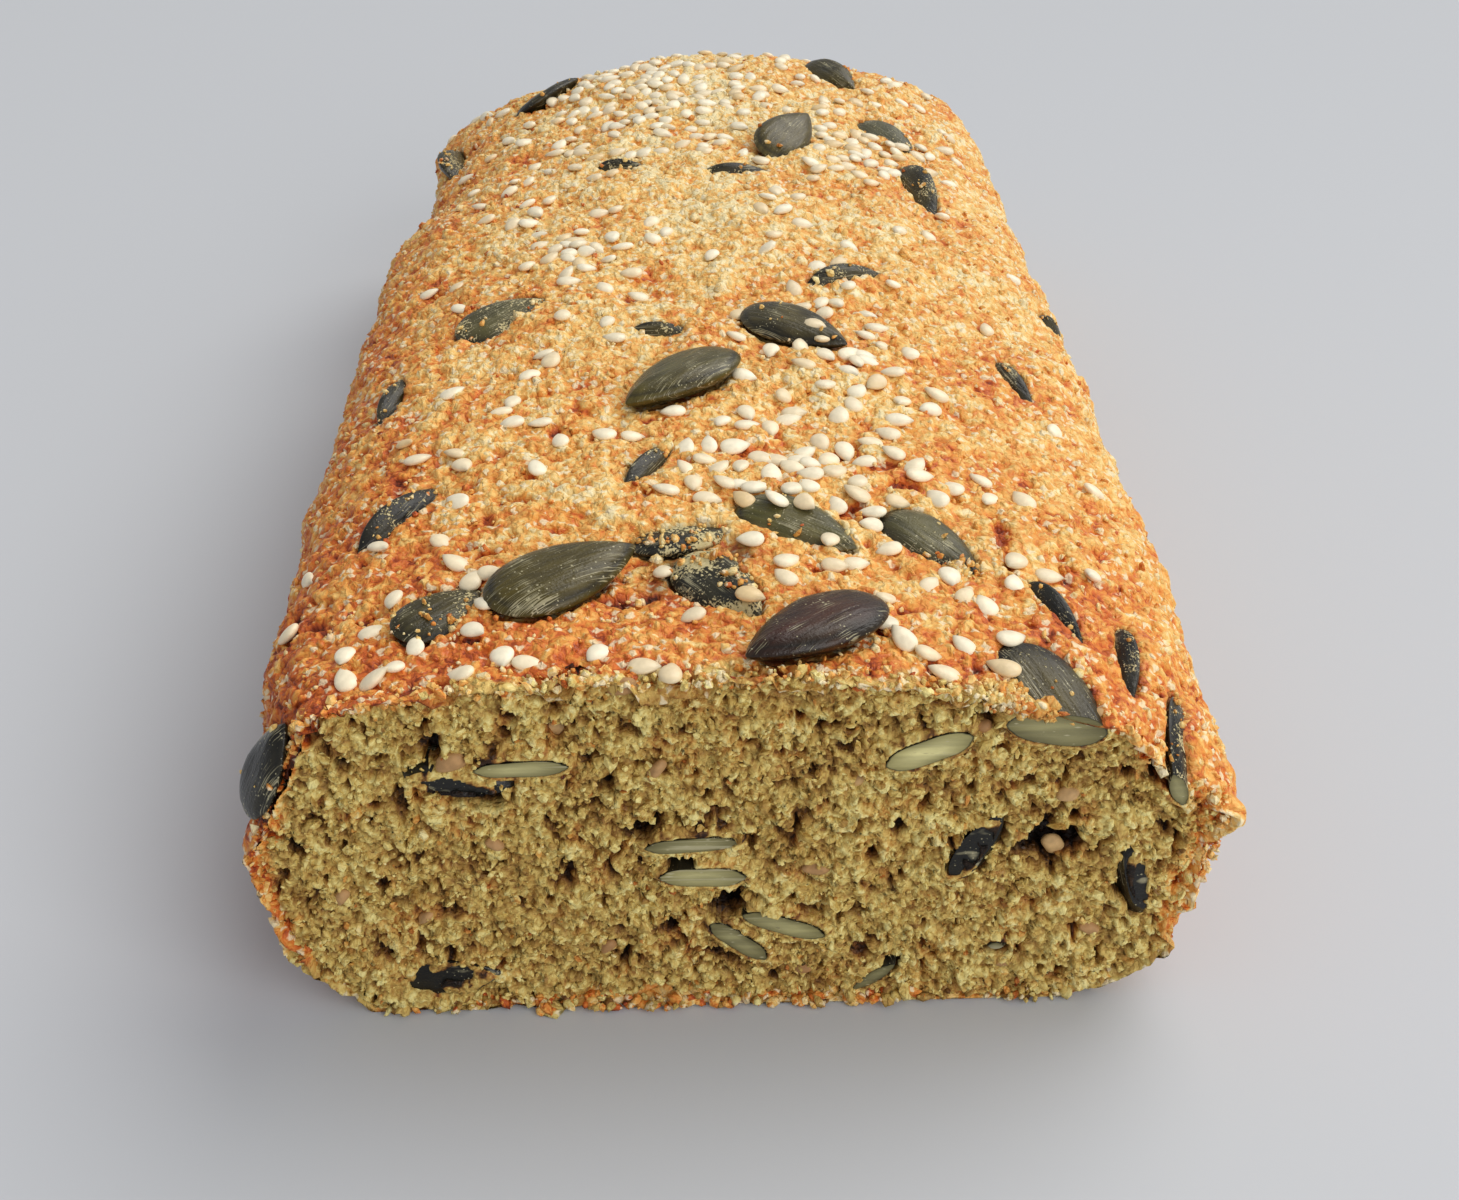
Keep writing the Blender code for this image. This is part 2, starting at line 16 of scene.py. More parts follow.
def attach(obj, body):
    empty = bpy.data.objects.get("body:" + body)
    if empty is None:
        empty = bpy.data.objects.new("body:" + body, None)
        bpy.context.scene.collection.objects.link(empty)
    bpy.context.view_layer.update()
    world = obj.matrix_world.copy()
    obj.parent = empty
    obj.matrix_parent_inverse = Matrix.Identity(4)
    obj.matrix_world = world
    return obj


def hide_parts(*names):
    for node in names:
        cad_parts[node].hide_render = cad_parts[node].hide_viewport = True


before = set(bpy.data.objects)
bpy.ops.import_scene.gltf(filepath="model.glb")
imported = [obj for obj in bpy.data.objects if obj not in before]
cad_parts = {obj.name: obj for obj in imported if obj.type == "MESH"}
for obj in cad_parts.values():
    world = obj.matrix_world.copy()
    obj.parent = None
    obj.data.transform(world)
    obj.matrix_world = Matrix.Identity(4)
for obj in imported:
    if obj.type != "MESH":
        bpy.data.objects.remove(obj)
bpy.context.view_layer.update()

# Form of the loaf, as in its solid
LENGTH = 196.0
RIM_HEIGHT = 26.0
CREST_FRONT = 44.8
CREST_BACK = 44.5
TIN_TAPER = 0.165
FOOT_WIDTH = 7.0
FOOT_HEIGHT = 8.0
END_ROUND = 12.0
END_TURN = 82.0
END_TAPER_REACH = 40.0
END_BULGE = 1.2
END_HALF = 51.0
END_RISE = 24.5
AXIS_HEIGHT = 20.0
LEFT_HALF = ((0, 51.0), (22, 50.2), (43, 51.0), (84, 51.0), (108, 50.8), (131, 50.5), (144, 47.5),
             (160, 46.5), (176, 48.5), (196, 49.5))
RIGHT_HALF = ((0, 50.6), (4, 51.8), (15, 53.3), (60, 53.3), (111, 53.0), (124, 51.8), (165, 51.0),
              (196, 50.0))
LEFT_FULLNESS = ((0, 3.3), (120, 2.4), (150, 1.9), (190, 1.55))
RIGHT_FULLNESS = ((0, 1.9), (196, 2.2))
CRUST_CRAGS = ((15.0, 1.1), (6.0, 0.7))
DENTS = ((-50.0, 5.0, 33.5, 8.0, 3.0), (46.5, -1.0, 34.5, 6.5, 2.6))
TOES = ((-36.0, 0.0, 8.0, 1.3), (30.0, 0.0, 13.0, 1.0))
SEED_SLENDERNESS = 0.54
SEED_FATNESS = 0.19
SLIM_SEEDS = {9: 0.15, 10: 0.13}
OPEN_FLARE = 1.1
OPEN_REACH = 6.0
OPEN_ASIDE = -4.5

# Lumps and dips of the crust round the cut face: side, along, height, reach and spread
RIM_LUMPS = ((1, 1.0, 25.6, 1.9, 1.6), (1, 1.0, 21.0, -1.4, 3.2), (-1, 1.5, 25.0, 1.4, 2.6),
             (-1, 0.0, 8.0, -1.4, 4.5))

# Fine crust: points of a ring over the loaf and along its base, those on its crown, the one whose distance
# along is taken for the ring, how sparse they are on the walls and up to which height, and the steps up a
# wall and over half the crown that they are laid by
OVER_POINTS = 420
BASE_POINTS = 24
CROWN_POINTS = slice(60, OVER_POINTS - 60)
ROW_POINT = 100
WALL_SHARE, WALL_TOP = 0.68, 23.0
WALL_STEPS, CROWN_STEPS = 60, 300

# Rows of the fine crust as end of a stretch and their spacing, and its fold over the cut as inset and depth
ROW_STRETCHES = ((48.0, 0.36), (112.0, 0.5), (184.0, 0.62))
END_SPACING = 0.62
CAP_RINGS = 38
FOLD = ((2.6, 3.4), (1.2, 1.9), (0.6, 0.9), (0.22, 0.3))

# Pumpkin seeds on the crown: number, across, along, turn of the tip, length, lean, nose, rise
CROWN_SEEDS = (
    (1, -17.1, 17.8, 33, 17.8, 6, 0, 1.0),
    (2, 8.1, 7.6, 217, 17.6, 10, 0, 1.1),
    (3, -4.8, 60.8, 226, 18.8, 10, 0, 1.1),
    (4, -4.6, 26.6, 12, 12.5, -14, 0, -0.9),
    (5, 7.8, 28.5, -32, 14.8, 12, 0, -0.5),
    (6, 22.6, 27.4, -48, 14.0, 8, 0, -0.6),
    (7, 32.4, 1.2, -62, 19.0, 17, -10, -1.9),
    (8, 34.6, 16.4, -66, 13.5, 78, 0, -2.6),
    (9, 41.1, 11.8, -94, 15.0, 74, 0, -2.6),
    (10, 47.7, 3.9, -91.6, 14.4, -25.4, -10.1, -1.8),
    (11, 10.4, 75.6, -34, 15.8, 6, 0, 0.6),
    (12, -28.4, 83.0, 36, 14.5, 16, 0, -0.5),
    (13, -36.4, 35.6, 60, 17.0, 76, 0, -2.6),
    (14, -29.4, 14.2, 42, 12.0, 14, -8, -0.5),
    (15, 13.2, 144.4, 64, 15.9, 20, 9, 1.2),
    (16, 23.6, 181.5, -55, 13.0, 20, 0, 0.1),
    (17, -28.2, 179.9, 27.5, 14.2, -23.7, 5.6, 0.4),
    (18, -44.4, 168.8, 78, 14.8, 82, -20, -0.2),
    (19, 33.4, 132.5, -74, 17.5, 62, 0, -1.7),
    (20, 31.0, 154.0, -52, 14.0, 24, 0, -1.4),
    (21, 5.6, 131.0, 6, 15.0, 74, 0, -2.8),
    (22, 19.6, 93.0, 26, 15.0, 70, 0, -2.7),
    (23, -6.6, 75.6, -4, 10.5, 55, 0, -1.6),
    (24, -41.2, 68.5, 76, 15.0, 78, 0, -2.9),
    (25, -12.8, 134.5, -20, 12.0, 70, 0, -2.2),
    (26, -7.6, 42.4, 62, 15.0, 72, 0, -2.7),
    (27, 39.3, 70.5, -66, 14.0, 76, 0, -2.7),
    (28, -0.9, 16.8, -54, 13.5, 12, 0, -0.3),
)

# Pumpkin seeds in the tin walls: number, side, along, height, turn of the tip, length, lean, rise
WALL_SEEDS = (
    (30, 1, 100.5, 31.0, 24, 10.5, 60, -1.6),
    (31, -1, 52.0, 16.0, 24, 15.0, 18, -0.7),
    (32, -1, 118.0, 21.0, -40, 16.0, 12, -0.5),
    (33, 1, 44.0, 14.0, 70, 15.0, 14, -0.6),
    (34, 1, 136.0, 19.0, -25, 16.0, 10, -0.4),
)

# Pumpkin seed bared at the left front corner, its socket open in front: number, across, along, height,
# bearing and slope of its face, turn of the tip and length
CORNER_SEEDS = (
    (29, -47.1, 3.3, 32.6, -58.6, 24.7, 79.1, 12.3),
)

# Pumpkin seeds in the back end: number, across, height, turn of the tip, length, lean, rise
END_SEEDS = (
    (35, -19.0, 23.0, 30, 16.0, 12, -0.5),
    (36, 24.0, 15.0, -50, 15.0, 16, -0.6),
)

# Pumpkin seeds sliced by the knife, as number, across and height at the knife's plane, depth of the
# middle, roll, yaw, length and thickness
SLICED_SEEDS = (
    (1, -21.1, 34.4, 2.0, 2, 6, 17.4, 1.9),
    (2, -4.3, 23.7, 1.6, 4, -8, 18.0, 1.8),
    (3, -3.2, 19.1, 2.2, -1, 5, 16.8, 2.5),
    (4, 0.6, 9.5, 2.0, -43, 8, 15.2, 2.2),
    (5, 5.3, 11.8, 0.6, -22, 12, 18.0, 2.2),
    (6, 19.4, 35.7, 2.0, 24, -10, 17.0, 3.0),
    (7, 15.6, 3.7, 5.4, 41, 8, 14.0, 2.0),
    (8, 28.4, 8.0, 6.9, 4, 176, 15.0, 2.6),
)

# Pumpkin seeds whose skin shows in the cut face, as number, across, height and depth of the middle,
# turn, length and lean
BARED_SEEDS = (
    (9, -27.2, 32.8, 1.9, -12, 12.0, -64),
    (10, 25.5, 22.1, 1.0, 66, 10.5, 34),
    (11, 42.2, 15.8, 2.6, -74, 13.0, 62),
    (12, -31.3, 4.0, 0.95, 8, 12.5, 8),
)

# Hollows of the crumb: across, height, half width, half height, turn and depth
HOLLOWS = (
    (-1.0, 14.2, 2.1, 1.5, 25, 3.4), (32.8, 21.8, 3.6, 2.3, 8, 3.2), (-26.6, 31.0, 4.2, 1.5, -14, 3.0),
    (25.4, 22.2, 3.8, 1.5, 62, 2.2), (42.3, 15.6, 3.8, 1.5, -74, 3.4), (-31.3, 4.4, 3.2, 1.2, 5, 2.0),
    (17.2, 5.0, 1.5, 0.9, 42, 2.6), (-9.6, 25.2, 2.0, 1.1, 15, 2.4), (-5.7, 20.8, 1.5, 0.9, 0, 2.4),
    (-1.2, 7.0, 1.9, 1.1, -20, 2.6), (-6.6, 11.1, 1.2, 1.0, 10, 2.2), (-17.3, 20.1, 0.7, 0.6, 0, 1.8),
    (43.6, 31.4, 2.2, 1.2, -30, 3.0), (-15.6, 44.6, 2.2, 0.6, -5, 2.6), (-12.9, 31.4, 1.1, 0.9, 30, 2.6),
    (-44.9, 23.8, 0.9, 1.3, 25, 2.0), (-38.6, 34.6, 1.0, 0.7, 0, 1.8), (17.1, 24.8, 0.8, 0.7, 0, 1.8),
    (35.2, 25.8, 0.7, 0.9, 0, 2.0), (8.2, 13.3, 1.3, 0.5, -22, 1.6), (-22.6, 38.3, 0.8, 0.7, 0, 1.8),
    (28.4, 7.6, 1.6, 0.8, 4, 2.0), (24.6, 39.6, 1.2, 0.7, -10, 2.4), (-29.6, 36.4, 0.7, 1.4, -15, 2.2),
)

# Depth of the sliced seeds' sections, and of the skinned seeds under their ragged cover of crumb
SECTION_DEPTH = 0.2
COVERED_DEPTH = 0.6

# Bits of lentil bared in the crumb: half their depth, and across, height, length, width and turn
LENTIL_DEPTH = 0.7
LENTILS = (
    (33.7, 20.6, 2.9, 2.2, -50), (29.4, 5.2, 2.3, 1.5, -15), (45.7, 14.6, 2.6, 1.6, -65),
    (24.7, 37.9, 2.0, 1.4, 20), (-17.3, 37.7, 3.0, 1.9, -25), (-7.7, 33.6, 2.9, 1.3, 55),
    (-10.7, 44.0, 2.9, 2.0, 10), (-28.0, 35.1, 3.2, 2.2, 20), (7.8, 4.3, 2.2, 1.5, 0),
    (8.7, 19.4, 3.0, 1.7, -10), (35.9, 38.6, 2.3, 1.6, 30), (34.1, 29.1, 2.4, 1.8, 0),
    (-32.6, 13.3, 2.1, 1.2, 35), (-41.0, 17.0, 2.0, 1.4, 60), (12.5, 31.0, 2.2, 1.5, 15),
    (38.5, 9.8, 2.4, 1.6, -30), (-13.5, 8.6, 2.0, 1.4, 40), (-24.5, 24.0, 2.1, 1.3, -35),
)

# Sesame seeds placed one by one near the front, as across and along
FRONT_SESAME = (
    (0.0, 36.3), (3.6, 35.5), (2.0, 32.3), (9.4, 35.5), (12.4, 32.9), (2.6, 24.2), (11.1, 24.4),
    (6.2, 21.0), (11.5, 20.6), (-6.9, 20.4), (-6.6, 35.1), (-3.9, 11.6), (2.2, 13.0), (16.3, 14.8),
    (17.5, 25.0), (-38.8, 8.9), (-33.4, 6.2), (-31.6, 8.7), (-26.6, 3.2), (-25.6, 9.9), (-22.6, 5.4),
    (-20.0, 4.2), (-13.3, 5.5), (17.2, 7.9), (19.4, 6.0), (20.9, 3.6), (23.4, 7.9), (26.7, 15.6),
    (28.4, 9.6), (26.6, 4.6), (35.1, 23.8), (40.1, 26.1), (-28.8, 22.8), (-26.9, 18.9), (-24.9, 13.9),
    (-34.8, 17.2), (-36.6, 13.1), (-38.2, 5.4), (-35.2, 4.6), (-46.2, 29.3), (-46.4, 18.4),
    (-37.6, 28.4), (-24.6, 19.4), (-37.7, 51.5), (-21.4, 41.6), (-21.4, 52.3), (-18.9, 47.7),
    (-33.2, 61.8), (-31.0, 27.6), (13.9, 13.2), (15.4, 11.2), (-8.6, 3.0), (-5.9, 1.8), (5.8, 17.8),
    (21.3, 18.8), (23.6, 20.6), (30.6, 20.4), (31.4, 24.9), (12.6, 74.2), (14.9, 76.6), (13.4, 71.6),
    (8.6, 29.8), (5.6, 31.2),
)

# Patches of sesame drawn by lot: across, along, spread across, spread along and count
SESAME_PATCHES = (
    (10, 41, 9, 8, 50), (14, 72, 6, 8, 26), (-17, 103, 7, 7, 28), (-9, 168, 9, 11, 80),
    (25, 145, 7, 7, 46), (3, 158, 22, 19, 100), (4, 112, 26, 20, 34), (18, 52, 14, 14, 26),
    (-30, 60, 10, 24, 16), (0, 186, 24, 5, 20),
)
SESAME_SIZE = (3.35, 2.25, 1.1)

# Least gap between sesame seeds, how far they lie aside and along, and up to where they are finely made
SESAME_GAP = 1.75
SESAME_ASIDE, SESAME_START, SESAME_END = 47.0, 10.0, 192.0
SESAME_FINE = 70.0

# Seeds of the random draws, piece by piece
SESAME_DRAW, CHIP_DRAW, FOOT_DRAW, CRUMB_DRAW, LENTIL_DRAW, STUCK_DRAW = 17, 29, 31, 43, 53, 71

# Colours as red, green and blue of the screen; the two ramps run from the palest to the darkest
CRUST_RAMP = ((250, 232, 180), (244, 200, 116), (234, 158, 68), (212, 104, 34), (152, 58, 18), (70, 28, 10))
CRUMB_RAMP = ((243, 227, 151), (216, 187, 105), (181, 141, 70), (128, 85, 36), (48, 26, 10))
CREAM = (254, 238, 198)
LENTIL, LENTIL_DARK = (200, 164, 112), (168, 124, 80)
SESAME_PALE, SESAME_TAN = (254, 244, 216), (234, 200, 140)
SKIN_BLACK, SKIN_DARK, SKIN_OLIVE, SKIN_GREEN = (20, 19, 15), (36, 34, 18), (72, 62, 20), (78, 74, 34)
# the pale film of the seeds' skins is partly their own film and partly painted sheen
SKIN_BROWN, SKIN_RED, SKIN_GREY, SKIN_FILM_SHEEN = (30, 21, 10), (66, 26, 12), (80, 78, 54), (128, 118, 82)
SCRATCH, DOUGH, DOUGH_PALE = (190, 182, 146), (210, 194, 142), (238, 228, 190)
KERNEL_RIM, KERNEL_MID, KERNEL_HEART = (46, 48, 28), (140, 132, 84), (188, 180, 126)


def to_metres(points):
    """Millimetres from the cut face to metres in the frame."""
    return (np.asarray(points, float) - (0.0, LENGTH / 2, 0.0)) * 0.001


def linear(colour):
    """Linear light of a screen colour."""
    value = np.asarray(colour, float) / 255.0
    return np.where(value <= 0.04045, value / 12.92, ((value + 0.055) / 1.055) ** 2.4)


def mixed(first, second, share):
    """A value a share of the way from a first one to a second."""
    return first + (second - first) * share


def unit(vectors):
    """Vectors scaled to length 1."""
    return vectors / np.maximum(np.linalg.norm(vectors, axis=-1, keepdims=True), 1e-9)


def eased(low, high, value):
    """Smooth step from 0 at low to 1 at high."""
    t = np.clip((value - low) / (high - low), 0.0, 1.0)
    return t * t * (3.0 - 2.0 * t)


def bell(points, middle, spread):
    """Height at each point of a bump that is 1 high at its middle."""
    return np.exp(-np.sum((points - np.array(middle)) ** 2, axis=1) / spread ** 2)


def dome(distance, radius):
    """Height of a round grain at a distance from its middle."""
    return np.sqrt(np.clip(1.0 - (distance / radius) ** 2, 0.0, 1.0))


# Multipliers and shifts that turn a cell's whole numbers and a seed into even bits
CELL_FACTORS = np.array((73856093, 19349663, 83492791), np.uint32)
SEED_FACTOR = 2654435761
BIT_STEPS = ((15, 0x2C1B3C6D), (12, 0x297A2D39))


def scrambled(cells, seed):
    """Fixed pseudo-random bits for each whole-numbered cell."""
    keys = cells.astype(np.int64).astype(np.uint32) * CELL_FACTORS
    bits = np.bitwise_xor.reduce(keys, axis=-1) ^ np.uint32(seed * SEED_FACTOR % 2 ** 32)
    for shift, factor in BIT_STEPS:
        bits = (bits ^ (bits >> np.uint32(shift))) * np.uint32(factor)
    return bits ^ (bits >> np.uint32(15))


def bit_shares(bits, width):
    """Three numbers from 0 to 1 for each cell, out of as many fields of its bits."""
    top = 2 ** width - 1
    fields = [(bits >> np.uint32(place * width)) & np.uint32(top) for place in range(3)]
    return np.column_stack(fields) / top


def wander(points, size, seed):
    """Smooth noise from -1 to 1 with features of about a size."""
    scaled = points / size
    low = np.floor(scaled)
    t = eased(0.0, 1.0, scaled - low)
    total = 0.0
    for corner in itertools.product((0, 1), repeat=3):
        weight = np.prod(np.where(corner, t, 1.0 - t), axis=1)
        total += weight * (scrambled(low + corner, seed) / 2.0 ** 32)
    return total * 2.0 - 1.0


def warped(points, size, reach, seed):
    """Points pushed about by noise, so that grains laid by them lose their roundness."""
    return points + reach * np.column_stack([wander(points, size, seed + axis) for axis in range(3)])


def grains(points, size, seed):
    """For each point the distance to its nearest grain's middle in grain sizes, the gap to the next
    grain, a number from 0 to 1 that belongs to the grain, and the height of the grain's slanted face."""
    scaled = points / size
    home = np.floor(scaled)
    first = np.full(len(points), 9.0)
    second = first.copy()
    nearest = home.copy()
    offset = np.zeros(points.shape)
    for step in itertools.product((-1, 0, 1), repeat=3):
        cell = home + step
        away = scaled - cell - bit_shares(scrambled(cell, seed), 10)
        apart = np.sum(away ** 2, axis=1)
        closer = apart < first
        second = np.where(closer, first, np.minimum(second, apart))
        nearest[closer] = cell[closer]
        offset[closer] = away[closer]
        first = np.where(closer, apart, first)
    bits = scrambled(nearest, seed + 1)
    slant = np.sum((2.0 * bit_shares(bits, 8) - 1.0) * offset, axis=1)
    return np.sqrt(first), np.sqrt(second) - np.sqrt(first), bits / 2.0 ** 32, slant


def half_width(side, along):
    return np.interp(along, *zip(*(LEFT_HALF if side < 0 else RIGHT_HALF)))


def fullness(side, along):
    return np.interp(along, *zip(*(LEFT_FULLNESS if side < 0 else RIGHT_FULLNESS)))


def crest(along):
    return mixed(CREST_FRONT, CREST_BACK, np.clip(along / LENGTH, 0.0, 1.0))


def wall_x(side, along, height):
    foot = np.clip((FOOT_HEIGHT - height) / FOOT_HEIGHT, 0.0, 1.0)
    inset = TIN_TAPER * (RIM_HEIGHT - height) + FOOT_WIDTH * foot ** 1.5
    return side * (half_width(side, along) - inset)


def crown_point(side, along, angle):
    """Point of the crown: angle 0 is the rim and a right angle is the crest."""
    power = 2.0 / fullness(side, along)
    x = side * half_width(side, along) * np.cos(angle) ** power
    return x, mixed(RIM_HEIGHT, crest(along), np.sin(angle) ** power)


def ring_at(along):
    """Closed ring of the loaf, as x and z: from the right foot over the crown, then back along the base."""
    heights = RIM_HEIGHT * np.linspace(0.0, 1.0, WALL_STEPS, endpoint=False)
    angles = np.clip(np.linspace(0.0, math.pi / 2, CROWN_STEPS), 0.0, math.pi / 2 - 1e-9)
    halves = []
    for side in (1, -1):
        x, z = crown_point(side, along, angles)
        halves.append(np.column_stack((np.append(wall_x(side, along, heights), x), np.append(heights, z))))
    outline = np.concatenate((halves[0], halves[1][-2::-1]))
    lengths = np.linalg.norm(np.diff(outline, axis=0), axis=1)
    lengths *= np.where(outline[:-1, 1] < WALL_TOP, WALL_SHARE, 1.0)
    steps = np.append(0.0, np.cumsum(lengths))
    even = np.linspace(0.0, steps[-1], OVER_POINTS)
    over = np.column_stack([np.interp(even, steps, outline[:, axis]) for axis in (0, 1)])
    base = np.linspace(over[-1, 0], over[0, 0], BASE_POINTS + 2)[1:-1]
    return np.concatenate((over, np.column_stack((base, np.zeros(BASE_POINTS)))))


def drawn_in(ring, reach):
    """A ring moved inwards by a distance."""
    along = np.roll(ring, -1, axis=0) - np.roll(ring, 1, axis=0)
    return ring + reach * unit(np.column_stack((-along[:, 1], along[:, 0])))


def pulled_in(ring, inset):
    """A ring drawn in towards the loaf's axis, as its end rounds off."""
    x, z = ring.T
    shrink = np.where(z > AXIS_HEIGHT, inset / END_RISE, 0.4 * inset / AXIS_HEIGHT)
    return np.column_stack((x * (1.0 - inset / END_HALF), AXIS_HEIGHT + (z - AXIS_HEIGHT) * (1.0 - shrink)))


def leaned(along, height):
    """Distance along of a point of the back end, which leans as the tin does."""
    weight = eased(LENGTH - END_TAPER_REACH, LENGTH, along)
    return along - weight * TIN_TAPER * np.clip(RIM_HEIGHT - height, 0.0, None)


def crags(points):
    """Coarse relief of the crust, dents included, as in the solid."""
    total = np.zeros(len(points))
    for grain, height in CRUST_CRAGS:
        total += height * np.array([noise.noise(Vector(point)) for point in points / grain])
    for across, along, height, spread, depth in DENTS:
        total -= depth * bell(points, (across, along, height), spread)
    return total


def crust_grid():
    """Rings of points from the fold in the cut face to the middle of the back end, and the rows where
    one piece of crust meets the next."""
    rings = [(depth, drawn_in(ring_at(0.0), inset)) for inset, depth in FOLD]
    along = 0.0
    seams = [0]
    for stop, spacing in ROW_STRETCHES:
        steps = np.linspace(along, stop, round((stop - along) / spacing), endpoint=False)
        rings += [(step, ring_at(step)) for step in steps]
        along = stop
        seams.append(len(rings))
    arc = math.radians(END_TURN)
    for turn in arc * np.linspace(0.0, 1.0, round(END_ROUND * arc / END_SPACING)):
        step = along + END_ROUND * math.sin(turn)
        rings.append((step, pulled_in(ring_at(step), END_ROUND * (1.0 - math.cos(turn)))))
    grid = [np.column_stack((ring[:, 0], leaned(step, ring[:, 1]), ring[:, 1])) for step, ring in rings]
    last = grid[-1]
    middle = last.mean(axis=0)
    for share in np.linspace(1.0, 0.02, CAP_RINGS)[1:]:
        grid.append(mixed(middle, last, share) + (0.0, END_BULGE * (1.0 - share), 0.0))
    seams[-1] = len(grid) - 1
    return np.array(grid), seams


def grid_normals(grid):
    around = np.roll(grid, -1, axis=1) - np.roll(grid, 1, axis=1)
    return unit(np.cross(np.gradient(grid, axis=0), around))


def crown_surface(across, along):
    side = 1 if across >= 0 else -1
    share = min(abs(across) / half_width(side, along), 0.9999)
    power = fullness(side, along)
    return across, along, mixed(RIM_HEIGHT, crest(along), (1.0 - share ** power) ** (1.0 / power))


def wall_surface(side):
    """Surface function of one tin wall, with its first parameter going round the rim to the right."""
    def surface(shift, along):
        height = RIM_HEIGHT - side * shift
        if height <= RIM_HEIGHT:
            return wall_x(side, along, height), along, height
        share = min(1.0, (height - RIM_HEIGHT) / (crest(along) - RIM_HEIGHT))
        x, z = crown_point(side, along, math.asin(share ** (fullness(side, along) / 2)))
        return x, along, z

    return surface


def surface_frame(surface, first, second):
    """Point, outward normal and lengthwise direction of a surface function at two parameters."""
    step = 1.5
    centre = np.array(surface(first, second))
    ahead = np.subtract(surface(first, second + step), surface(first, second - step))
    beside = np.subtract(surface(first + step, second), surface(first - step, second))
    normal = unit(np.cross(beside, ahead))
    return Vector(centre + normal * crags(centre[None])), Vector(normal), Vector(unit(ahead))


def seed_pose(centre, normal, ahead, turn, lean, nose, rise):
    """Placement of a seed lying on a surface, its tip turned from across towards ahead."""
    across = ahead.cross(normal).normalized()
    ahead = normal.cross(across).normalized()
    angle = math.radians(turn)
    tip = across * math.cos(angle) + ahead * math.sin(angle)
    flat = Matrix((tip, normal.cross(tip), normal)).transposed()
    tilt = Matrix.Rotation(math.radians(lean), 3, "X") @ Matrix.Rotation(math.radians(-nose), 3, "Y")
    pose = (flat @ tilt).to_4x4()
    pose.translation = centre + normal * rise
    return pose


def seed_poses():
    """Node, placement, length and thickness of every pumpkin seed."""
    poses = []

    def add(number, pose, length, thickness=None, kind="pumpkin_seed"):
        poses.append((f"{kind}_{number:02d}", pose, length, thickness or SEED_FATNESS * length))

    for number, across, along, turn, length, lean, nose, rise in CROWN_SEEDS:
        placed = seed_pose(*surface_frame(crown_surface, across, along), turn, lean, nose, rise)
        add(number, placed, length, SLIM_SEEDS.get(number, SEED_FATNESS) * length)
    for number, side, along, height, turn, length, lean, rise in WALL_SEEDS:
        spot = surface_frame(wall_surface(side), side * (RIM_HEIGHT - height), along)
        add(number, seed_pose(*spot, turn, lean, 0.0, rise), length)
    upward = Vector((0.0, 0.0, 1.0))
    for number, across, along, height, bearing, slope, turn, length in CORNER_SEEDS:
        aside, up = math.radians(bearing), math.radians(slope)
        normal = Vector((math.cos(up) * math.sin(aside), -math.cos(up) * math.cos(aside), math.sin(up)))
        add(number, seed_pose(Vector((across, along, height)), normal, upward, turn, 0.0, 0.0, 0.0), length)
    back = Vector((0.0, 1.0, -TIN_TAPER)).normalized()
    for number, across, height, turn, length, lean, rise in END_SEEDS:
        centre = Vector((across, leaned(LENGTH, height) + END_BULGE / 2, height))
        ahead = Vector((0.0, TIN_TAPER, 1.0)).normalized()
        add(number, seed_pose(centre, back, ahead, turn, lean, 0.0, rise), length)
    for number, across, height, depth, roll, yaw, length, thickness in SLICED_SEEDS:
        placed = Matrix.Rotation(math.radians(90 + yaw), 4, "Z")
        placed = placed @ Matrix.Rotation(math.radians(-roll), 4, "X")
        tip = placed.col[0].to_3d()
        placed.translation = Vector((across, 0.0, height)) + tip * (depth / tip.y)
        add(number, placed, length, thickness, "cut_seed")
    for number, across, height, depth, turn, length, lean in BARED_SEEDS:
        centre = Vector((across, depth, height))
        placed = seed_pose(centre, Vector((0.0, -1.0, 0.0)), upward, turn, lean, 0.0, 0.0)
        add(number, placed, length, kind="cut_seed")
    return poses


def seed_bulge(angle):
    """Sideways reach of a seed's outline at an angle: round behind, pointed at its tip."""
    return 1.2 * np.sin(angle) * np.abs(np.sin(angle / 2)) ** 0.65


def seed_profile(share):
    """Height of a seed's side as a share of half its thickness, from its middle to its outline."""
    return np.clip(1.0 - share ** 4, 0.0, 1.0) ** 0.75


def seed_point(share, angle, length, thickness):
    """Point of a seed's side in its own millimetres."""
    x = share * length / 2 * math.cos(angle)
    y = share * SEED_SLENDERNESS * length / 2 * float(seed_bulge(angle))
    return x, y, thickness / 2 * float(seed_profile(share))


# Outline of a seed of length 1, as distance from its middle by bearing from its tip
OUTLINE_ANGLES = np.linspace(0.0, math.pi, 90)
OUTLINE = 0.5 * np.array((np.cos(OUTLINE_ANGLES), SEED_SLENDERNESS * seed_bulge(OUTLINE_ANGLES)))
OUTLINE_BEARING = np.arctan2(OUTLINE[1], OUTLINE[0])
OUTLINE_REACH = np.hypot(*OUTLINE)


def outline_reach(x, y, length):
    return length * np.interp(np.abs(np.arctan2(y, x)), OUTLINE_BEARING, OUTLINE_REACH)


def seen_from(pose, points):
    """Points in a seed's own axes."""
    return (points - np.array(pose.translation)) @ np.array(pose.to_3x3())


def node_names(kind, table):
    return {f"{kind}_{row[0]:02d}" for row in table}


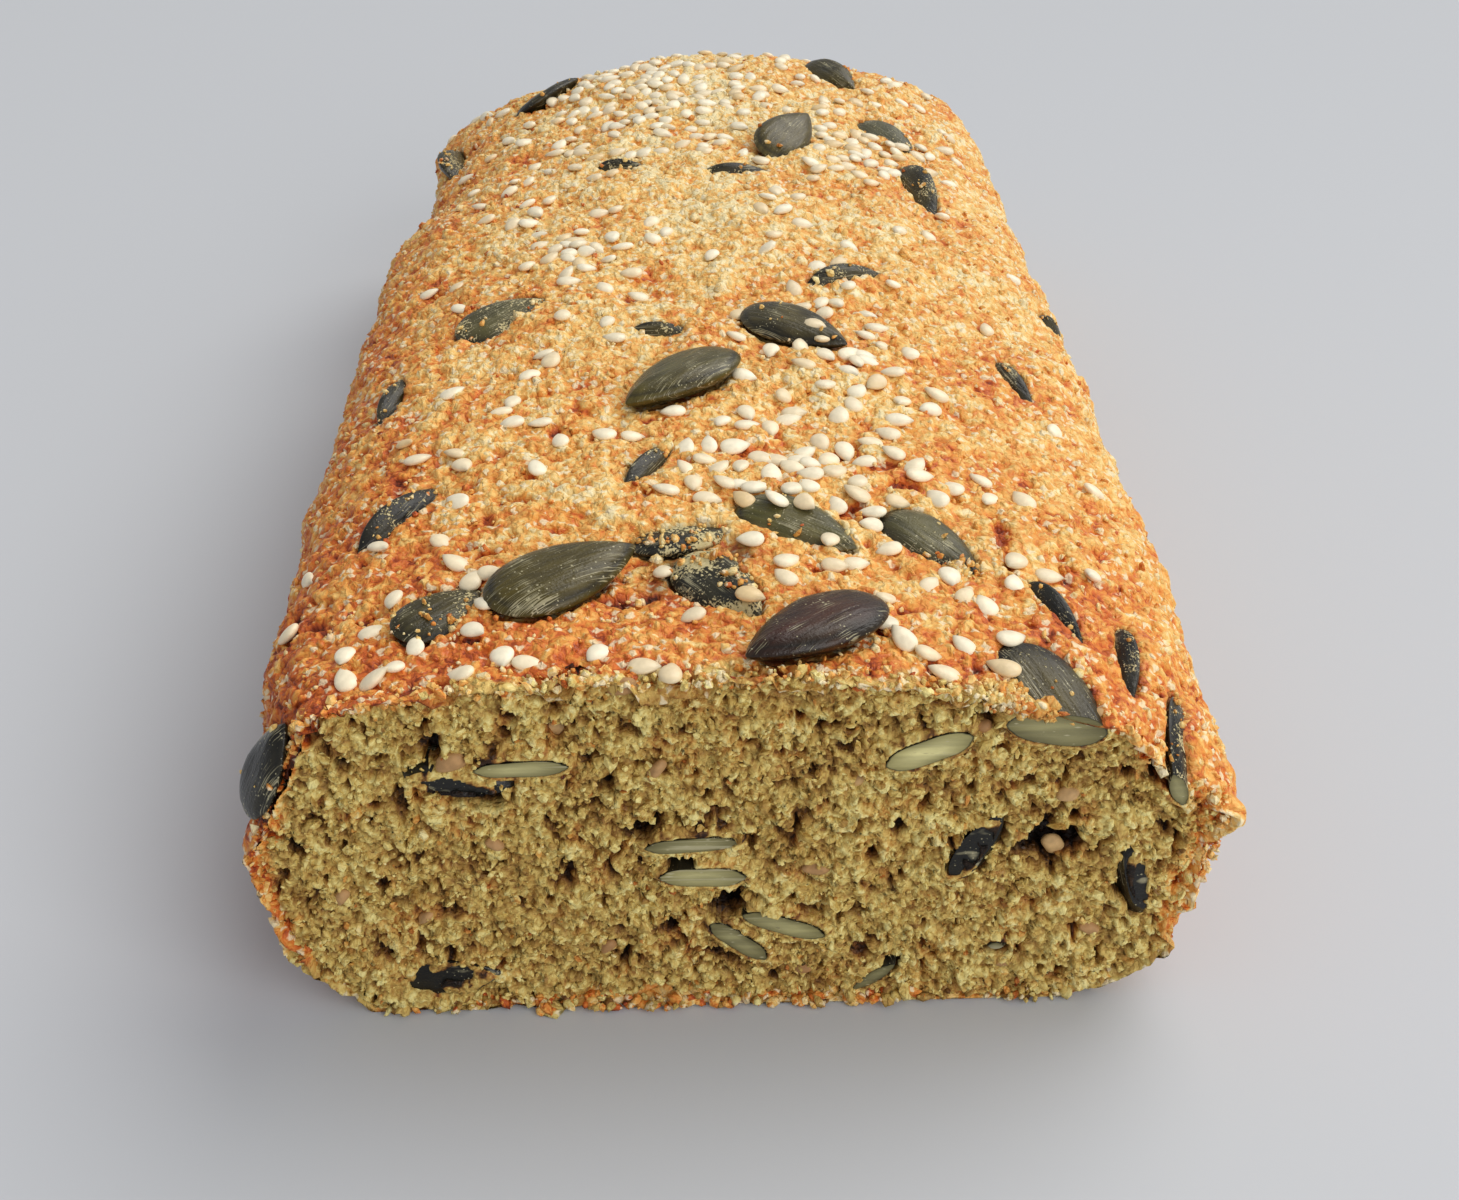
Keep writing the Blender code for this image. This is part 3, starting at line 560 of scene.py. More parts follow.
def depth_in_seeds(points, poses, clearance):
    """How far each point lies inside the nearest seed, in millimetres; less than 0 is outside it."""
    deepest = np.full(len(points), -clearance)
    for _, pose, length, thickness in poses:
        apart = np.sum((points - np.array(pose.translation)) ** 2, axis=1)
        near = np.flatnonzero(apart < (length / 2 + clearance + 0.5) ** 2)
        x, y, z = seen_from(pose, points[near]).T
        reach = outline_reach(x, y, length)
        away = np.hypot(x, y)
        inside = thickness / 2 * seed_profile(np.minimum(away / reach, 1.0)) - np.abs(z)
        outside = np.hypot(np.maximum(away - reach, 0.0), np.maximum(-inside, 0.0))
        deepest[near] = np.maximum(deepest[near], np.where(outside > 0.0, -outside, inside))
    return deepest


def opened(points, poses):
    """Points with those in front of the corner's bared seed laid back to its plane."""
    for name, pose, length, thickness in poses:
        if name not in node_names("pumpkin_seed", CORNER_SEEDS):
            continue
        x, y, z = seen_from(pose, points).T
        aside = y - OPEN_ASIDE * np.clip(z / OPEN_REACH, 0.0, 1.0)
        share = np.hypot(x, aside) / outline_reach(x, aside, length)
        level = -0.3 * thickness + 0.4 * wander(points, 1.4, 67)
        laid = eased(OPEN_FLARE + 1.1, OPEN_FLARE, share) * (z > level)
        laid *= x ** 2 + y ** 2 + z ** 2 < (2 * length) ** 2
        local = np.column_stack((x, y, mixed(z, level, laid)))
        moved = local @ np.array(pose.to_3x3()).T + np.array(pose.translation)
        points = np.where(laid[:, None] > 0.0, moved, points)
    return points


def dressed(mesh, material, node):
    """A piece of a mesh that rides on the loaf and stands for a node."""
    mesh.materials.append(material)
    piece = bpy.data.objects.new(mesh.name, mesh)
    bpy.context.scene.collection.objects.link(piece)
    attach(piece, "root")
    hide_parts(node)
    return piece


def new_piece(name, points, faces, colours, material):
    """A piece of the loaf from points in millimetres, faces with one number of corners, and point
    colours."""
    mesh = bpy.data.meshes.new(name)
    mesh.vertices.add(len(points))
    mesh.vertices.foreach_set("co", to_metres(points).astype(np.float32).ravel())
    mesh.loops.add(faces.size)
    mesh.loops.foreach_set("vertex_index", faces.astype(np.int32).ravel())
    mesh.polygons.add(len(faces))
    mesh.polygons.foreach_set("loop_start", np.arange(0, faces.size, faces.shape[1], dtype=np.int32))
    mesh.update(calc_edges=True)
    mesh.shade_smooth()
    rgba = np.column_stack((np.clip(colours, 0.0, 1.0), np.ones(len(points))))
    tone = mesh.color_attributes.new("Tone", "FLOAT_COLOR", "POINT")
    tone.data.foreach_set("color", rgba.astype(np.float32).ravel())
    return dressed(mesh, material, "loaf")


def grid_faces(rows, columns):
    """Four-cornered faces of closed rings."""
    first = np.arange((rows - 1) * columns).reshape(rows - 1, columns)
    after = np.roll(first, -1, axis=1)
    return np.stack((first, after, after + columns, first + columns), axis=-1).reshape(-1, 4)


# Painted shade in the hollows of the crust between seeds: across, along, spread and share of black
HOLLOW_SHADE = ((-4.6, 21.0, 3.0, 0.85), (1.2, 22.6, 2.2, 0.7), (-7.4, 17.6, 1.8, 0.5))

# Sizes of the crust's grains
CRUST_LUMP, CRUST_BEAD, CRUST_GRIT = 2.8, 1.35, 0.78


def lip_share(across):
    """Share of crumb in the crust's lip over the cut face; the crust reaches over it at both sides."""
    return eased(-34.0, -24.0, across) * eased(38.0, 30.0, across)


def crust_relief(points, near_seed):
    """Outward relief of the crust, and each point's place on its ramp, share of crumb and light."""
    across, along, height = points.T
    bent = warped(points, 2.0, 0.6, 11)
    lump, lump_gap, lump_pick, lump_slant = grains(bent, CRUST_LUMP, 21)
    bead, bead_gap, bead_pick, bead_slant = grains(warped(points, 1.0, 0.3, 15), CRUST_BEAD, 31)
    grit, _, grit_pick, _ = grains(bent, CRUST_GRIT, 41)
    relief = 0.45 * dome(lump, 0.9) * (0.2 + lump_pick) + 0.3 * lump_slant
    relief += 0.3 * dome(bead, 0.75) * (0.2 + bead_pick) + 0.22 * bead_slant + 0.1 * dome(grit, 0.8)
    gap = eased(0.14, 0.0, bead_gap) + 0.6 * eased(0.1, 0.0, lump_gap)
    pit = eased(0.45, 0.8, wander(points, 2.2, 51)) * (1.0 - 0.6 * eased(20.0, 80.0, along))
    torn = eased(3.6, 0.0, along) * eased(0.0, 0.5, wander(points, 2.8, 65)) * (height > 8.0)
    relief -= 0.14 * gap + 0.85 * pit + 1.5 * torn + 0.3

    # painted shade: the crust's colour darkens towards the left side, away from the light
    left = eased(-18.0, -50.0, across)
    back = eased(15.0, 150.0, along)
    front = np.exp(-np.maximum(along, 0.0) / 16.0) * eased(24.0, 34.0, height)
    place = 0.27 + 0.1 * wander(points, 14.0, 61) + 0.11 * wander(points, 4.4, 62)
    place += 0.17 * front - 0.11 * back + 0.16 * left + 0.08 * eased(30.0, 16.0, height)
    place -= 0.02 * np.exp(-((across + 4.0) / 22.0) ** 2) * eased(4.0, 24.0, along)
    place += (0.04 - 0.07 * front) * eased(14.0, 40.0, across)
    place -= 0.16 * eased(2.0, 0.0, along) * eased(34.0, 26.0, height)
    place += 0.22 * (0.5 - bead_pick) + 0.1 * (0.5 - grit_pick) + 0.08 * (0.5 - lump_pick)
    # painted shade: darker in the gaps between grains, in pits and in low spots of the relief
    place += 0.07 * gap + 0.26 * pit + 0.12 * eased(0.0, -0.7, relief)

    cut = eased(2.8, 0.6, along + 2.4 * wander(points, 2.8, 63))
    foot = eased(11.0, 5.0, height) * eased(16.0, 24.0, np.abs(across) + 4.0 * wander(points, 4.0, 64))
    crumb = cut * np.maximum(foot, 0.85 * (height > RIM_HEIGHT) * lip_share(across))
    place = mixed(place, 0.26 + 0.3 * (0.5 - grit_pick), 0.85 * crumb)
    crease = eased(-0.7, -0.05, near_seed)
    # painted shade: the light channel darkens in the crease round each seed
    light = 1.0 - 0.7 * crease
    # painted shade: the light channel is darkened in the hollows between seeds
    for *middle, spread, black in HOLLOW_SHADE:
        light *= 1.0 - black * bell(points[:, :2], middle, spread) * (height > RIM_HEIGHT)
    return mixed(relief, -0.7, crease), np.column_stack((place, crumb, light))


class Crust:
    """The crust's base points, where things are put on it, and its outline in the cut face."""

    def __init__(self, base, normals, outline):
        self.base = base
        self.normals = normals
        self.outline = outline
        self.rows = base[:-CAP_RINGS, ROW_POINT, 1]

    def spots(self, places):
        """Points and normals of the crown at places seen from above."""
        rows = [int(np.argmin(np.abs(self.rows - along))) for _, along in places]
        columns = [CROWN_POINTS.start + int(np.argmin(np.abs(self.base[row, CROWN_POINTS, 0] - across)))
                   for row, (across, _) in zip(rows, places)]
        return self.base[rows, columns], self.normals[rows, columns]


def close_cap(piece, columns):
    """Fill the small hole that the rings leave in the middle of the back end."""
    body = bmesh.new()
    body.from_mesh(piece.data)
    body.verts.ensure_lookup_table()
    body.faces.new(body.verts[-columns:])
    bmesh.ops.triangulate(body, faces=body.faces[-1:])
    body.to_mesh(piece.data)
    body.free()


def make_crust(poses, material):
    """The fine crust in three pieces."""
    grid, seams = crust_grid()
    rows, columns = grid.shape[:2]
    rim = len(FOLD)
    normals = grid_normals(grid)
    normals[:rim + 1] = normals[rim + 1]
    outward = normals.reshape(-1, 3)
    base = grid.reshape(-1, 3)
    base = base + outward * (crags(base) * (base[:, 2] >= 0.5))[:, None]
    relief, tones = crust_relief(base, depth_in_seeds(base, poses, 1.5))
    for side, along, height, reach, spread in RIM_LUMPS:
        relief += reach * bell(base[:, 1:], (along, height), spread) * (side * base[:, 0] > 0)
    relief = relief.reshape(rows, columns)
    relief[:rim] = relief[rim]
    points = opened(base + outward * relief.reshape(-1, 1), poses)
    points[:, 2] = np.maximum(points[:, 2], 0.0)
    for name, first, last in zip(("crust_front", "crust_middle", "crust_back"), seams, seams[1:]):
        part = slice(first * columns, (last + 1) * columns)
        faces = grid_faces(last + 1 - first, columns)
        piece = new_piece(name, points[part], faces, tones[part], material)
    close_cap(piece, columns)
    outline = opened(base[rim * columns:(rim + 1) * columns], poses)[:, (0, 2)]
    return Crust(base.reshape(rows, columns, 3), normals, outline)


# Sizes of the crumb's grains
CRUMB_LUMP, CRUMB_FLAKE, CRUMB_CHIP = 2.5, 1.4, 0.62

# Grid of the cut face: spacing, reach to each side, top, and how far it stays inside the outline
CRUMB_SPACING = 0.24
FACE_HALF, FACE_TOP, FACE_HEM = 54.0, 46.5, 0.2


def hollow_depth(points):
    """Depth of the crumb's hollows at points in the knife's plane."""
    deepest = np.zeros(len(points))
    ragged = 0.28 * wander(points, 1.0, 103)
    for across, height, wide, tall, turn, deep in HOLLOWS:
        cos, sin = math.cos(math.radians(turn)), math.sin(math.radians(turn))
        local = (points[:, (0, 2)] - (across, height)) @ np.array(((cos, -sin), (sin, cos)))
        reach = np.linalg.norm(local / (wide, tall), axis=1) + ragged
        deepest = np.maximum(deepest, deep * eased(1.1, 0.75, reach))
    return deepest


def crumb_relief(points, edge, poses):
    """Depth of the crumb behind the knife's plane, and each point's place on its ramp, share of crust
    and light, at points in that plane."""
    across, _, height = points.T
    bent = warped(points, 1.5, 0.75, 71)
    _, lump_gap, lump_pick, lump_slant = grains(bent, CRUMB_LUMP, 81)
    _, flake_gap, flake_pick, flake_slant = grains(warped(points, 0.8, 0.4, 75), CRUMB_FLAKE, 91)
    _, _, chip_pick, chip_slant = grains(warped(points, 0.5, 0.15, 77), CRUMB_CHIP, 95)
    rise = 0.8 * lump_slant + 0.55 * (lump_pick - 0.5) + 0.62 * flake_slant + 0.6 * (flake_pick - 0.5)
    rise += 0.22 * chip_slant + 0.2 * (chip_pick - 0.5)
    crevice = eased(0.16, 0.0, flake_gap) + 0.8 * eased(0.1, 0.0, lump_gap)
    pit = eased(0.46, 0.74, wander(bent, 1.6, 99)) + 0.7 * eased(0.62, 0.8, wander(points, 0.8, 100))
    hollow = hollow_depth(points)
    level = np.maximum(0.85 - 0.85 * rise + 0.3 * crevice + 1.5 * pit + hollow, 0.0)
    depth = level.copy()
    for toe_across, toe_height, spread, swell in TOES:
        depth -= swell * bell(points, (toe_across, 0.0, toe_height), spread)

    # painted shade: the crumb darkens with depth and in crevices, pits and hollows; the grains' picks vary
    # it at random
    place = 0.03 + 0.22 * np.minimum(level, 3.0) + 0.16 * (0.5 - flake_pick) + 0.07 * (0.5 - chip_pick)
    place += 0.12 * crevice + 0.26 * np.minimum(pit, 1.0) + 0.14 * np.minimum(hollow, 2.5)
    # the wander varies it at random; darker towards the left is painted shade
    place += 0.09 * wander(points, 5.0, 105) + 0.04 * eased(20.0, -40.0, across)
    side = 2.3 * eased(38.0, 44.0, across) + 1.0 * eased(-38.0, -44.0, across)
    band = 0.8 + side * eased(3.0, 9.0, height) * eased(34.0, 27.0, height)
    band *= np.maximum(eased(6.0, 12.0, height), eased(24.0, 17.0, np.abs(across)))
    crust = eased(1.25, 0.6, (edge + 0.7 * wander(points, 1.8, 109)) / np.maximum(band, 0.01))
    crust = np.maximum(crust, 0.24 * eased(0.15, 0.75, wander(points, 2.3, 113)))

    skinned = node_names("cut_seed", BARED_SEEDS)
    sliced = depth_in_seeds(points, [pose for pose in poses if pose[0] not in skinned], 1.6)
    bared = depth_in_seeds(points, [pose for pose in poses if pose[0] in skinned], 1.2)
    shallow = eased(1.2, 0.3, hollow)
    for low, high, least, share in ((-1.5, -0.6, 0.35, 0.3), (-0.9, -0.3, 0.1, 0.2)):
        flush = np.minimum(depth, least + share * np.clip(depth, 0.0, 1.0))
        depth = mixed(depth, flush, eased(low, high, sliced) * shallow)
    bare = eased(0.05, 0.3, bared + 0.5 * wander(points, 1.2, 111))
    cover = np.minimum(depth, 0.4 * COVERED_DEPTH + 0.1 * chip_slant)
    depth = mixed(depth, cover, eased(-0.6, -0.2, bared) * (1.0 - bare))
    depth = mixed(depth, np.maximum(depth, 1.6), np.maximum(eased(-0.04, 0.12, sliced), bare))
    # painted shade: the light channel darkens round the sliced seeds' sections, behind the bared seeds and
    # in the hollows
    light = 1.0 - 0.45 * eased(-0.1, 0.06, sliced) - 0.5 * eased(0.0, 0.8, bare)
    light *= 1.0 - 0.75 * eased(0.6, 1.8, hollow)
    depth = mixed(depth, np.maximum(depth, 0.45), eased(1.0, 0.25, edge))
    return depth, np.column_stack((place, crust, light))


def search_tree(places):
    """Tree that finds the nearest of places given as x and z."""
    tree = kdtree.KDTree(len(places))
    for index, (x, z) in enumerate(places):
        tree.insert((x, z, 0.0), index)
    tree.balance()
    return tree


def edge_distance(places, outline):
    """Distance of places in the cut face to the loaf's outline; less than 0 is outside it."""
    shares = np.linspace(0.0, 1.0, 4, endpoint=False)[:, None, None]
    after = np.roll(outline, -1, axis=0)
    tree = search_tree((outline * (1.0 - shares) + after * shares).reshape(-1, 2))
    distance = np.array([tree.find((x, z, 0.0))[2] for x, z in places])
    inside = np.zeros(len(places), bool)
    for (x, z), (next_x, next_z) in zip(outline, after):
        if z != next_z:
            crosses = (z > places[:, 1]) != (next_z > places[:, 1])
            inside ^= crosses & (places[:, 0] < x + (places[:, 1] - z) * (next_x - x) / (next_z - z))
    return np.where(inside, distance, -distance)


def make_crumb(poses, outline, material):
    """The rough cut face, a fine sheet whose border hides behind the crust's fold."""
    across = np.arange(-FACE_HALF, FACE_HALF, CRUMB_SPACING)
    heights = np.arange(0.0, FACE_TOP, CRUMB_SPACING)
    places = np.array(np.meshgrid(across, heights)).reshape(2, -1).T
    edge = edge_distance(places, outline)
    kept = edge > FACE_HEM
    index = np.full(len(places), -1)
    index[kept] = np.arange(kept.sum())
    index = index.reshape(len(heights), len(across))
    corners = np.stack((index[:-1, :-1], index[:-1, 1:], index[1:, 1:], index[1:, :-1]), axis=-1)
    faces = corners.reshape(-1, 4)
    faces = faces[(faces >= 0).all(axis=1)]
    places, edge = places[kept], edge[kept]
    depth, tones = crumb_relief(np.insert(places, 1, 0.0, axis=1), edge, poses)
    points = opened(np.insert(places, 1, depth, axis=1), poses)
    new_piece("crumb_face", points, faces, tones, material)
    return points, edge


def ball(subdivisions):
    """Points and triangles of a round ball of radius 1."""
    body = bmesh.new()
    bmesh.ops.create_icosphere(body, subdivisions=subdivisions, radius=1.0)
    points = np.array([vertex.co[:] for vertex in body.verts])
    faces = np.array([[vertex.index for vertex in face.verts] for face in body.faces])
    body.free()
    return points, faces


def scattered(name, form, centres, frames, sizes, tones, material):
    """One joined piece of many small bodies: each has a middle, three directions, a size and a tone, and
    takes the forms in turn."""
    forms, faces = form
    local = forms[np.arange(len(centres)) % len(forms)] * sizes[:, None, :]
    points = centres[:, None, :] + np.einsum("nvk,nkj->nvj", local, frames)
    points[..., 2] = np.maximum(points[..., 2], 0.0)
    indices = faces[None] + (np.arange(len(centres)) * forms.shape[1])[:, None, None]
    tones = np.broadcast_to(tones.reshape(len(centres), -1, 3), points.shape)
    points, indices, tones = (rows.reshape(-1, 3) for rows in (points, indices, tones))
    return new_piece(name, points, indices, tones, material)


def squared(tip, outward):
    """Three directions of each body: its tip, squared up to the outward one, its side, and outward."""
    tip = unit(tip - outward * np.sum(tip * outward, axis=1, keepdims=True))
    return np.stack((tip, np.cross(outward, tip), outward), axis=1)


def random_frames(draw, count):
    """Evenly drawn turns as three directions each."""
    w, x, y, z = unit(draw.normal(size=(count, 4))).T
    return np.array([
        [1 - 2 * (y * y + z * z), 2 * (x * y + z * w), 2 * (x * z - y * w)],
        [2 * (x * y - z * w), 1 - 2 * (x * x + z * z), 2 * (y * z + x * w)],
        [2 * (x * z + y * w), 2 * (y * z - x * w), 1 - 2 * (x * x + y * y)]]).transpose(2, 0, 1)


def sesame_shape(subdivisions):
    """A sesame seed of half length 1: flat, broad behind and pointed at its tip."""
    points, faces = ball(subdivisions)
    taper = (1.0 - 0.3 * points[:, 0]) * (1.0 - 0.5 * np.clip(points[:, 0], 0.0, 1.0) ** 3)
    points[:, 1] *= taper
    points[:, 2] *= 0.4 + 0.6 * taper
    return points, faces


def sesame_places(draw):
    """Across and along of all sesame: those placed one by one first, then patches drawn by lot."""
    places = list(FRONT_SESAME)
    for across, along, wide, deep, count in SESAME_PATCHES:
        full = len(places) + count
        for _ in range(count * 12):
            spot = draw.normal((across, along), (wide, deep))
            if len(places) == full:
                break
            gap = np.linalg.norm(np.array(places) - spot, axis=1).min()
            within = abs(spot[0]) <= SESAME_ASIDE and SESAME_START <= spot[1] <= SESAME_END
            if within and gap >= SESAME_GAP:
                places.append(tuple(spot))
    return places


def make_sesame(crust, poses, material):
    """All sesame, with finer seeds near the front."""
    draw = np.random.default_rng(SESAME_DRAW)
    centres, normals = crust.spots(sesame_places(draw))
    buried = depth_in_seeds(centres, poses, 2.0)
    clear = (buried < -0.7) | (np.arange(len(centres)) < len(FRONT_SESAME))
    centres = (centres + normals * np.maximum(buried + 0.3, 0.0)[:, None])[clear]
    normals = normals[clear]
    count = len(centres)
    ahead = unit((0.0, 1.0, 0.0) - normals * normals[:, 1:2])
    turns = draw.uniform(0, 2 * math.pi, (count, 1))
    tip = np.cross(ahead, normals) * np.cos(turns) + ahead * np.sin(turns)
    tilt = draw.normal(0.0, 0.16, (count, 2))
    frames = squared(tip, unit(normals + tip * tilt[:, :1] + np.cross(normals, tip) * tilt[:, 1:]))
    sizes = np.array(SESAME_SIZE) / 2 * draw.uniform(0.86, 1.08, (count, 1))
    sizes = sizes * draw.uniform(0.93, 1.07, (count, 3))
    spots = centres + normals * draw.uniform(0.1, 0.42, (count, 1))
    colours = mixed(linear(SESAME_PALE), linear(SESAME_TAN), draw.beta(1.0, 3.0, (count, 1)))
    colours = colours * draw.uniform(0.9, 1.0, (count, 1))
    near = centres[:, 1] < SESAME_FINE
    for name, some, subdivisions in (("sesame_front", near, 3), ("sesame_back", ~near, 2)):
        form, faces = sesame_shape(subdivisions)
        shade = 1.0 - 0.3 * eased(0.45, 1.0, form[:, :1])
        scattered(name, (form[None], faces), spots[some], frames[some], sizes[some],
                  colours[some][:, None] * shade, material)


# Chips bedded in the crust: name, start, end, count and size
CRUST_CHIPS = (("crust_chips_rim", 0.0, 3.0, 1000, 0.38), ("crust_chips_front", 0.4, 60.0, 2500, 0.38),
               ("crust_chips_back", 60.0, 188.0, 2900, 0.52))

# Ragged foot of the cut face: chips, the reach of the row to each side, and their size
FOOT_CHIPS, FOOT_REACH, FOOT_SIZE = 420, 38.0, 0.55

# Loose bits of the cut face: name, count, size
CRUMB_CHIPS = (("crumb_flakes", 1100, 0.5), ("crumb_specks", 4200, 0.3))

# Forms of chips in a piece, which its chips take in turn
CHIP_FORMS = 7


def chip_sizes(draw, size, spread, least, count):
    """Sizes of chips in three directions, drawn about a size."""
    return size * draw.lognormal(0.0, spread, (count, 1)) * draw.uniform(least, 1.3, (count, 3))


def strewn(name, draw, centres, sizes, place, other, material):
    """A piece of angular chips, which are balls of twenty faces pushed out of shape and turned by lot.
    Each has its place on its own ramp and its share of the other."""
    form, faces = ball(1)
    forms = form[None] * draw.uniform(0.55, 1.25, (CHIP_FORMS, len(form), 1))
    forms = forms * draw.uniform(0.6, 1.2, (CHIP_FORMS, 1, 3))
    frames = random_frames(draw, len(centres))
    tones = np.column_stack((place, other, np.ones(len(centres))))
    return scattered(name, (forms, faces), centres, frames, sizes, tones, material)


def make_crust_chips(crust, poses, material):
    """Pale and golden chips bedded in the crust, smaller and closer near the front."""
    draw = np.random.default_rng(CHIP_DRAW)
    for name, start, stop, count, size in CRUST_CHIPS:
        row = draw.choice(np.flatnonzero((crust.rows >= start) & (crust.rows <= stop)), count)
        column = draw.integers(30, OVER_POINTS - 30, count)
        clear = depth_in_seeds(crust.base[row, column], poses, 1.5) < -0.5
        centres = crust.base[row, column][clear]
        normals = crust.normals[row, column][clear]
        across, along, height = centres.T
        number = len(centres)
        sizes = chip_sizes(draw, size, 0.3, 0.7, number)
        # painted shade: chips darken towards the left side; they grow paler towards the back
        shift = 0.14 * eased(-10.0, -50.0, across) - 0.06 * eased(15.0, 150.0, along)
        place = np.clip(draw.normal(0.2, 0.16, number) + shift, 0.0, 0.7)
        lip = lip_share(across) * (height > RIM_HEIGHT) * eased(3.0, 1.0, along)
        crumb = draw.uniform(0.0, 1.0, number) < 0.6 * lip
        centres = opened(centres + normals * draw.uniform(-0.3, 0.1, (number, 1)), poses)
        piece = strewn(name, draw, centres, sizes, place, crumb, material)
        if start == 0.0:
            piece.data.shade_flat()


def make_foot_chips(material):
    """Chips of crust and crumb along the bottom edge of the cut face."""
    draw = np.random.default_rng(FOOT_DRAW)
    across = draw.uniform(-FOOT_REACH, FOOT_REACH, FOOT_CHIPS)
    along = draw.uniform(-0.5, 1.2, FOOT_CHIPS) - 0.5 * wander(np.outer(across, (1.0, 0.0, 0.0)), 3.0, 37)
    centres = np.column_stack((across, along, draw.uniform(0.1, 1.1, FOOT_CHIPS)))
    sizes = chip_sizes(draw, FOOT_SIZE, 0.35, 0.6, FOOT_CHIPS)
    browned = eased(26.0, 14.0, across) * eased(-34.0, -26.0, across)
    crumb = draw.uniform(0.0, 1.0, FOOT_CHIPS) > 0.15 + 0.5 * browned
    place = np.clip(draw.normal(0.36, 0.16, FOOT_CHIPS), 0.0, 0.8)
    strewn("foot_chips", draw, centres, sizes, place, crumb, material)


def make_crumb_chips(points, edge, poses, material):
    """Loose flakes and specks of crumb standing out of the cut face."""
    draw = np.random.default_rng(CRUMB_DRAW)
    for name, count, size in CRUMB_CHIPS:
        centres = points[draw.choice(np.flatnonzero((edge > 0.8) & (points[:, 1] < 1.4)), count)]
        centres = centres[depth_in_seeds(centres * (1.0, 0.0, 1.0), poses, 1.2) < -0.35]
        number = len(centres)
        sizes = chip_sizes(draw, size, 0.3, 0.5, number)
        place = np.clip(draw.normal(0.26, 0.14, number), 0.0, 0.8)
        crust = 0.5 * (draw.uniform(0.0, 1.0, number) > 0.93)
        strewn(name, draw, centres, sizes, place, crust, material).data.shade_flat()


def make_lentils(points, material):
    """Bits of lentil bared in the cut face."""
    draw = np.random.default_rng(LENTIL_DRAW)
    across, height, length, width, turn = np.array(LENTILS).T
    tree = search_tree(points[:, (0, 2)])
    deep = np.array([points[tree.find((x, z, 0.0))[1], 1] for x, z in zip(across, height)])
    centres = np.column_stack((across, np.clip(deep, 0.6, 2.6) + 0.1, height))
    turn = np.radians(turn)
    tip = np.column_stack((np.cos(turn), 0.0 * turn, np.sin(turn)))
    frames = squared(tip, np.tile((0.0, -1.0, 0.0), (len(tip), 1)))
    sizes = np.column_stack((length / 2, width / 2, np.full(len(tip), LENTIL_DEPTH)))
    tones = mixed(linear(LENTIL), linear(LENTIL_DARK), draw.uniform(0.0, 1.0, (len(tip), 1)))
    form, faces = ball(3)
    form = form * (1.0 + 0.2 * wander(form + 5.0, 0.8, 53))[:, None]
    scattered("lentil_bits", (form[None], faces), centres, frames, sizes, tones, material)


# Looks of single seeds: skin, colour of its middle, share of pale film, which is partly painted sheen,
# and share of stuck dough
SEED_LOOKS = {
    1: (SKIN_OLIVE, SKIN_OLIVE, 0.06, 0.0), 2: (SKIN_BROWN, SKIN_RED, 0.05, 0.0),
    3: (SKIN_OLIVE, SKIN_GREEN, 0.12, 0.0), 4: (SKIN_BLACK, SKIN_DARK, 0.12, 0.6),
    5: (SKIN_GREEN, SKIN_GREEN, 0.3, 0.2), 6: (SKIN_DARK, SKIN_GREEN, 0.25, 0.2),
    7: (SKIN_BLACK, SKIN_OLIVE, 0.06, 0.2), 8: (SKIN_BLACK, SKIN_BLACK, 0.06, 0.25),
    9: (SKIN_BLACK, SKIN_BLACK, 0.06, 0.3), 10: (SKIN_BLACK, SKIN_BLACK, 0.08, 0.45),
    11: (SKIN_BLACK, SKIN_OLIVE, 0.15, 0.1), 12: (SKIN_DARK, SKIN_GREEN, 0.25, 0.5),
    13: (SKIN_BLACK, SKIN_BLACK, 0.1, 0.4), 14: (SKIN_DARK, SKIN_OLIVE, 0.06, 0.4),
    15: (SKIN_OLIVE, SKIN_OLIVE, 0.15, 0.1), 16: (SKIN_OLIVE, SKIN_DARK, 0.1, 0.1),
    17: (SKIN_BLACK, SKIN_OLIVE, 0.1, 0.1), 20: (SKIN_GREY, SKIN_GREY, 0.25, 0.3),
    28: (SKIN_BLACK, SKIN_DARK, 0.2, 0.65), 29: (SKIN_BLACK, SKIN_BLACK, 0.06, 0.1),
}
COMMON_LOOK = (SKIN_BLACK, SKIN_OLIVE, 0.12, 0.35)
BARED_LOOK = (SKIN_BLACK, SKIN_BLACK, 0.1, 0.0)

# Points round a seed, its rings on each side, and the rings of a sliced seed's section
SEED_SIDES = 44
SEED_SHARES = (0.985, 0.95, 0.9, 0.83, 0.72, 0.56, 0.38, 0.19)
SECTION_RINGS = ((1.0, KERNEL_RIM), (0.95, KERNEL_MID), (0.35, KERNEL_HEART))

# Brightness of the sliced seeds' sections, and of a whole seed's that the knife has touched
KERNEL_LIGHT = {1: 0.8, 2: 0.62, 3: 0.95, 4: 0.58, 5: 0.78, 6: 1.15, 7: 0.5, 8: 0.35}
GRAZED_LIGHT = 0.6


def bridge(body, outer, inner):
    """Faces between two closed rings of points."""
    for index in range(len(outer)):
        after = (index + 1) % len(outer)
        body.faces.new((outer[index], outer[after], inner[after], inner[index]))


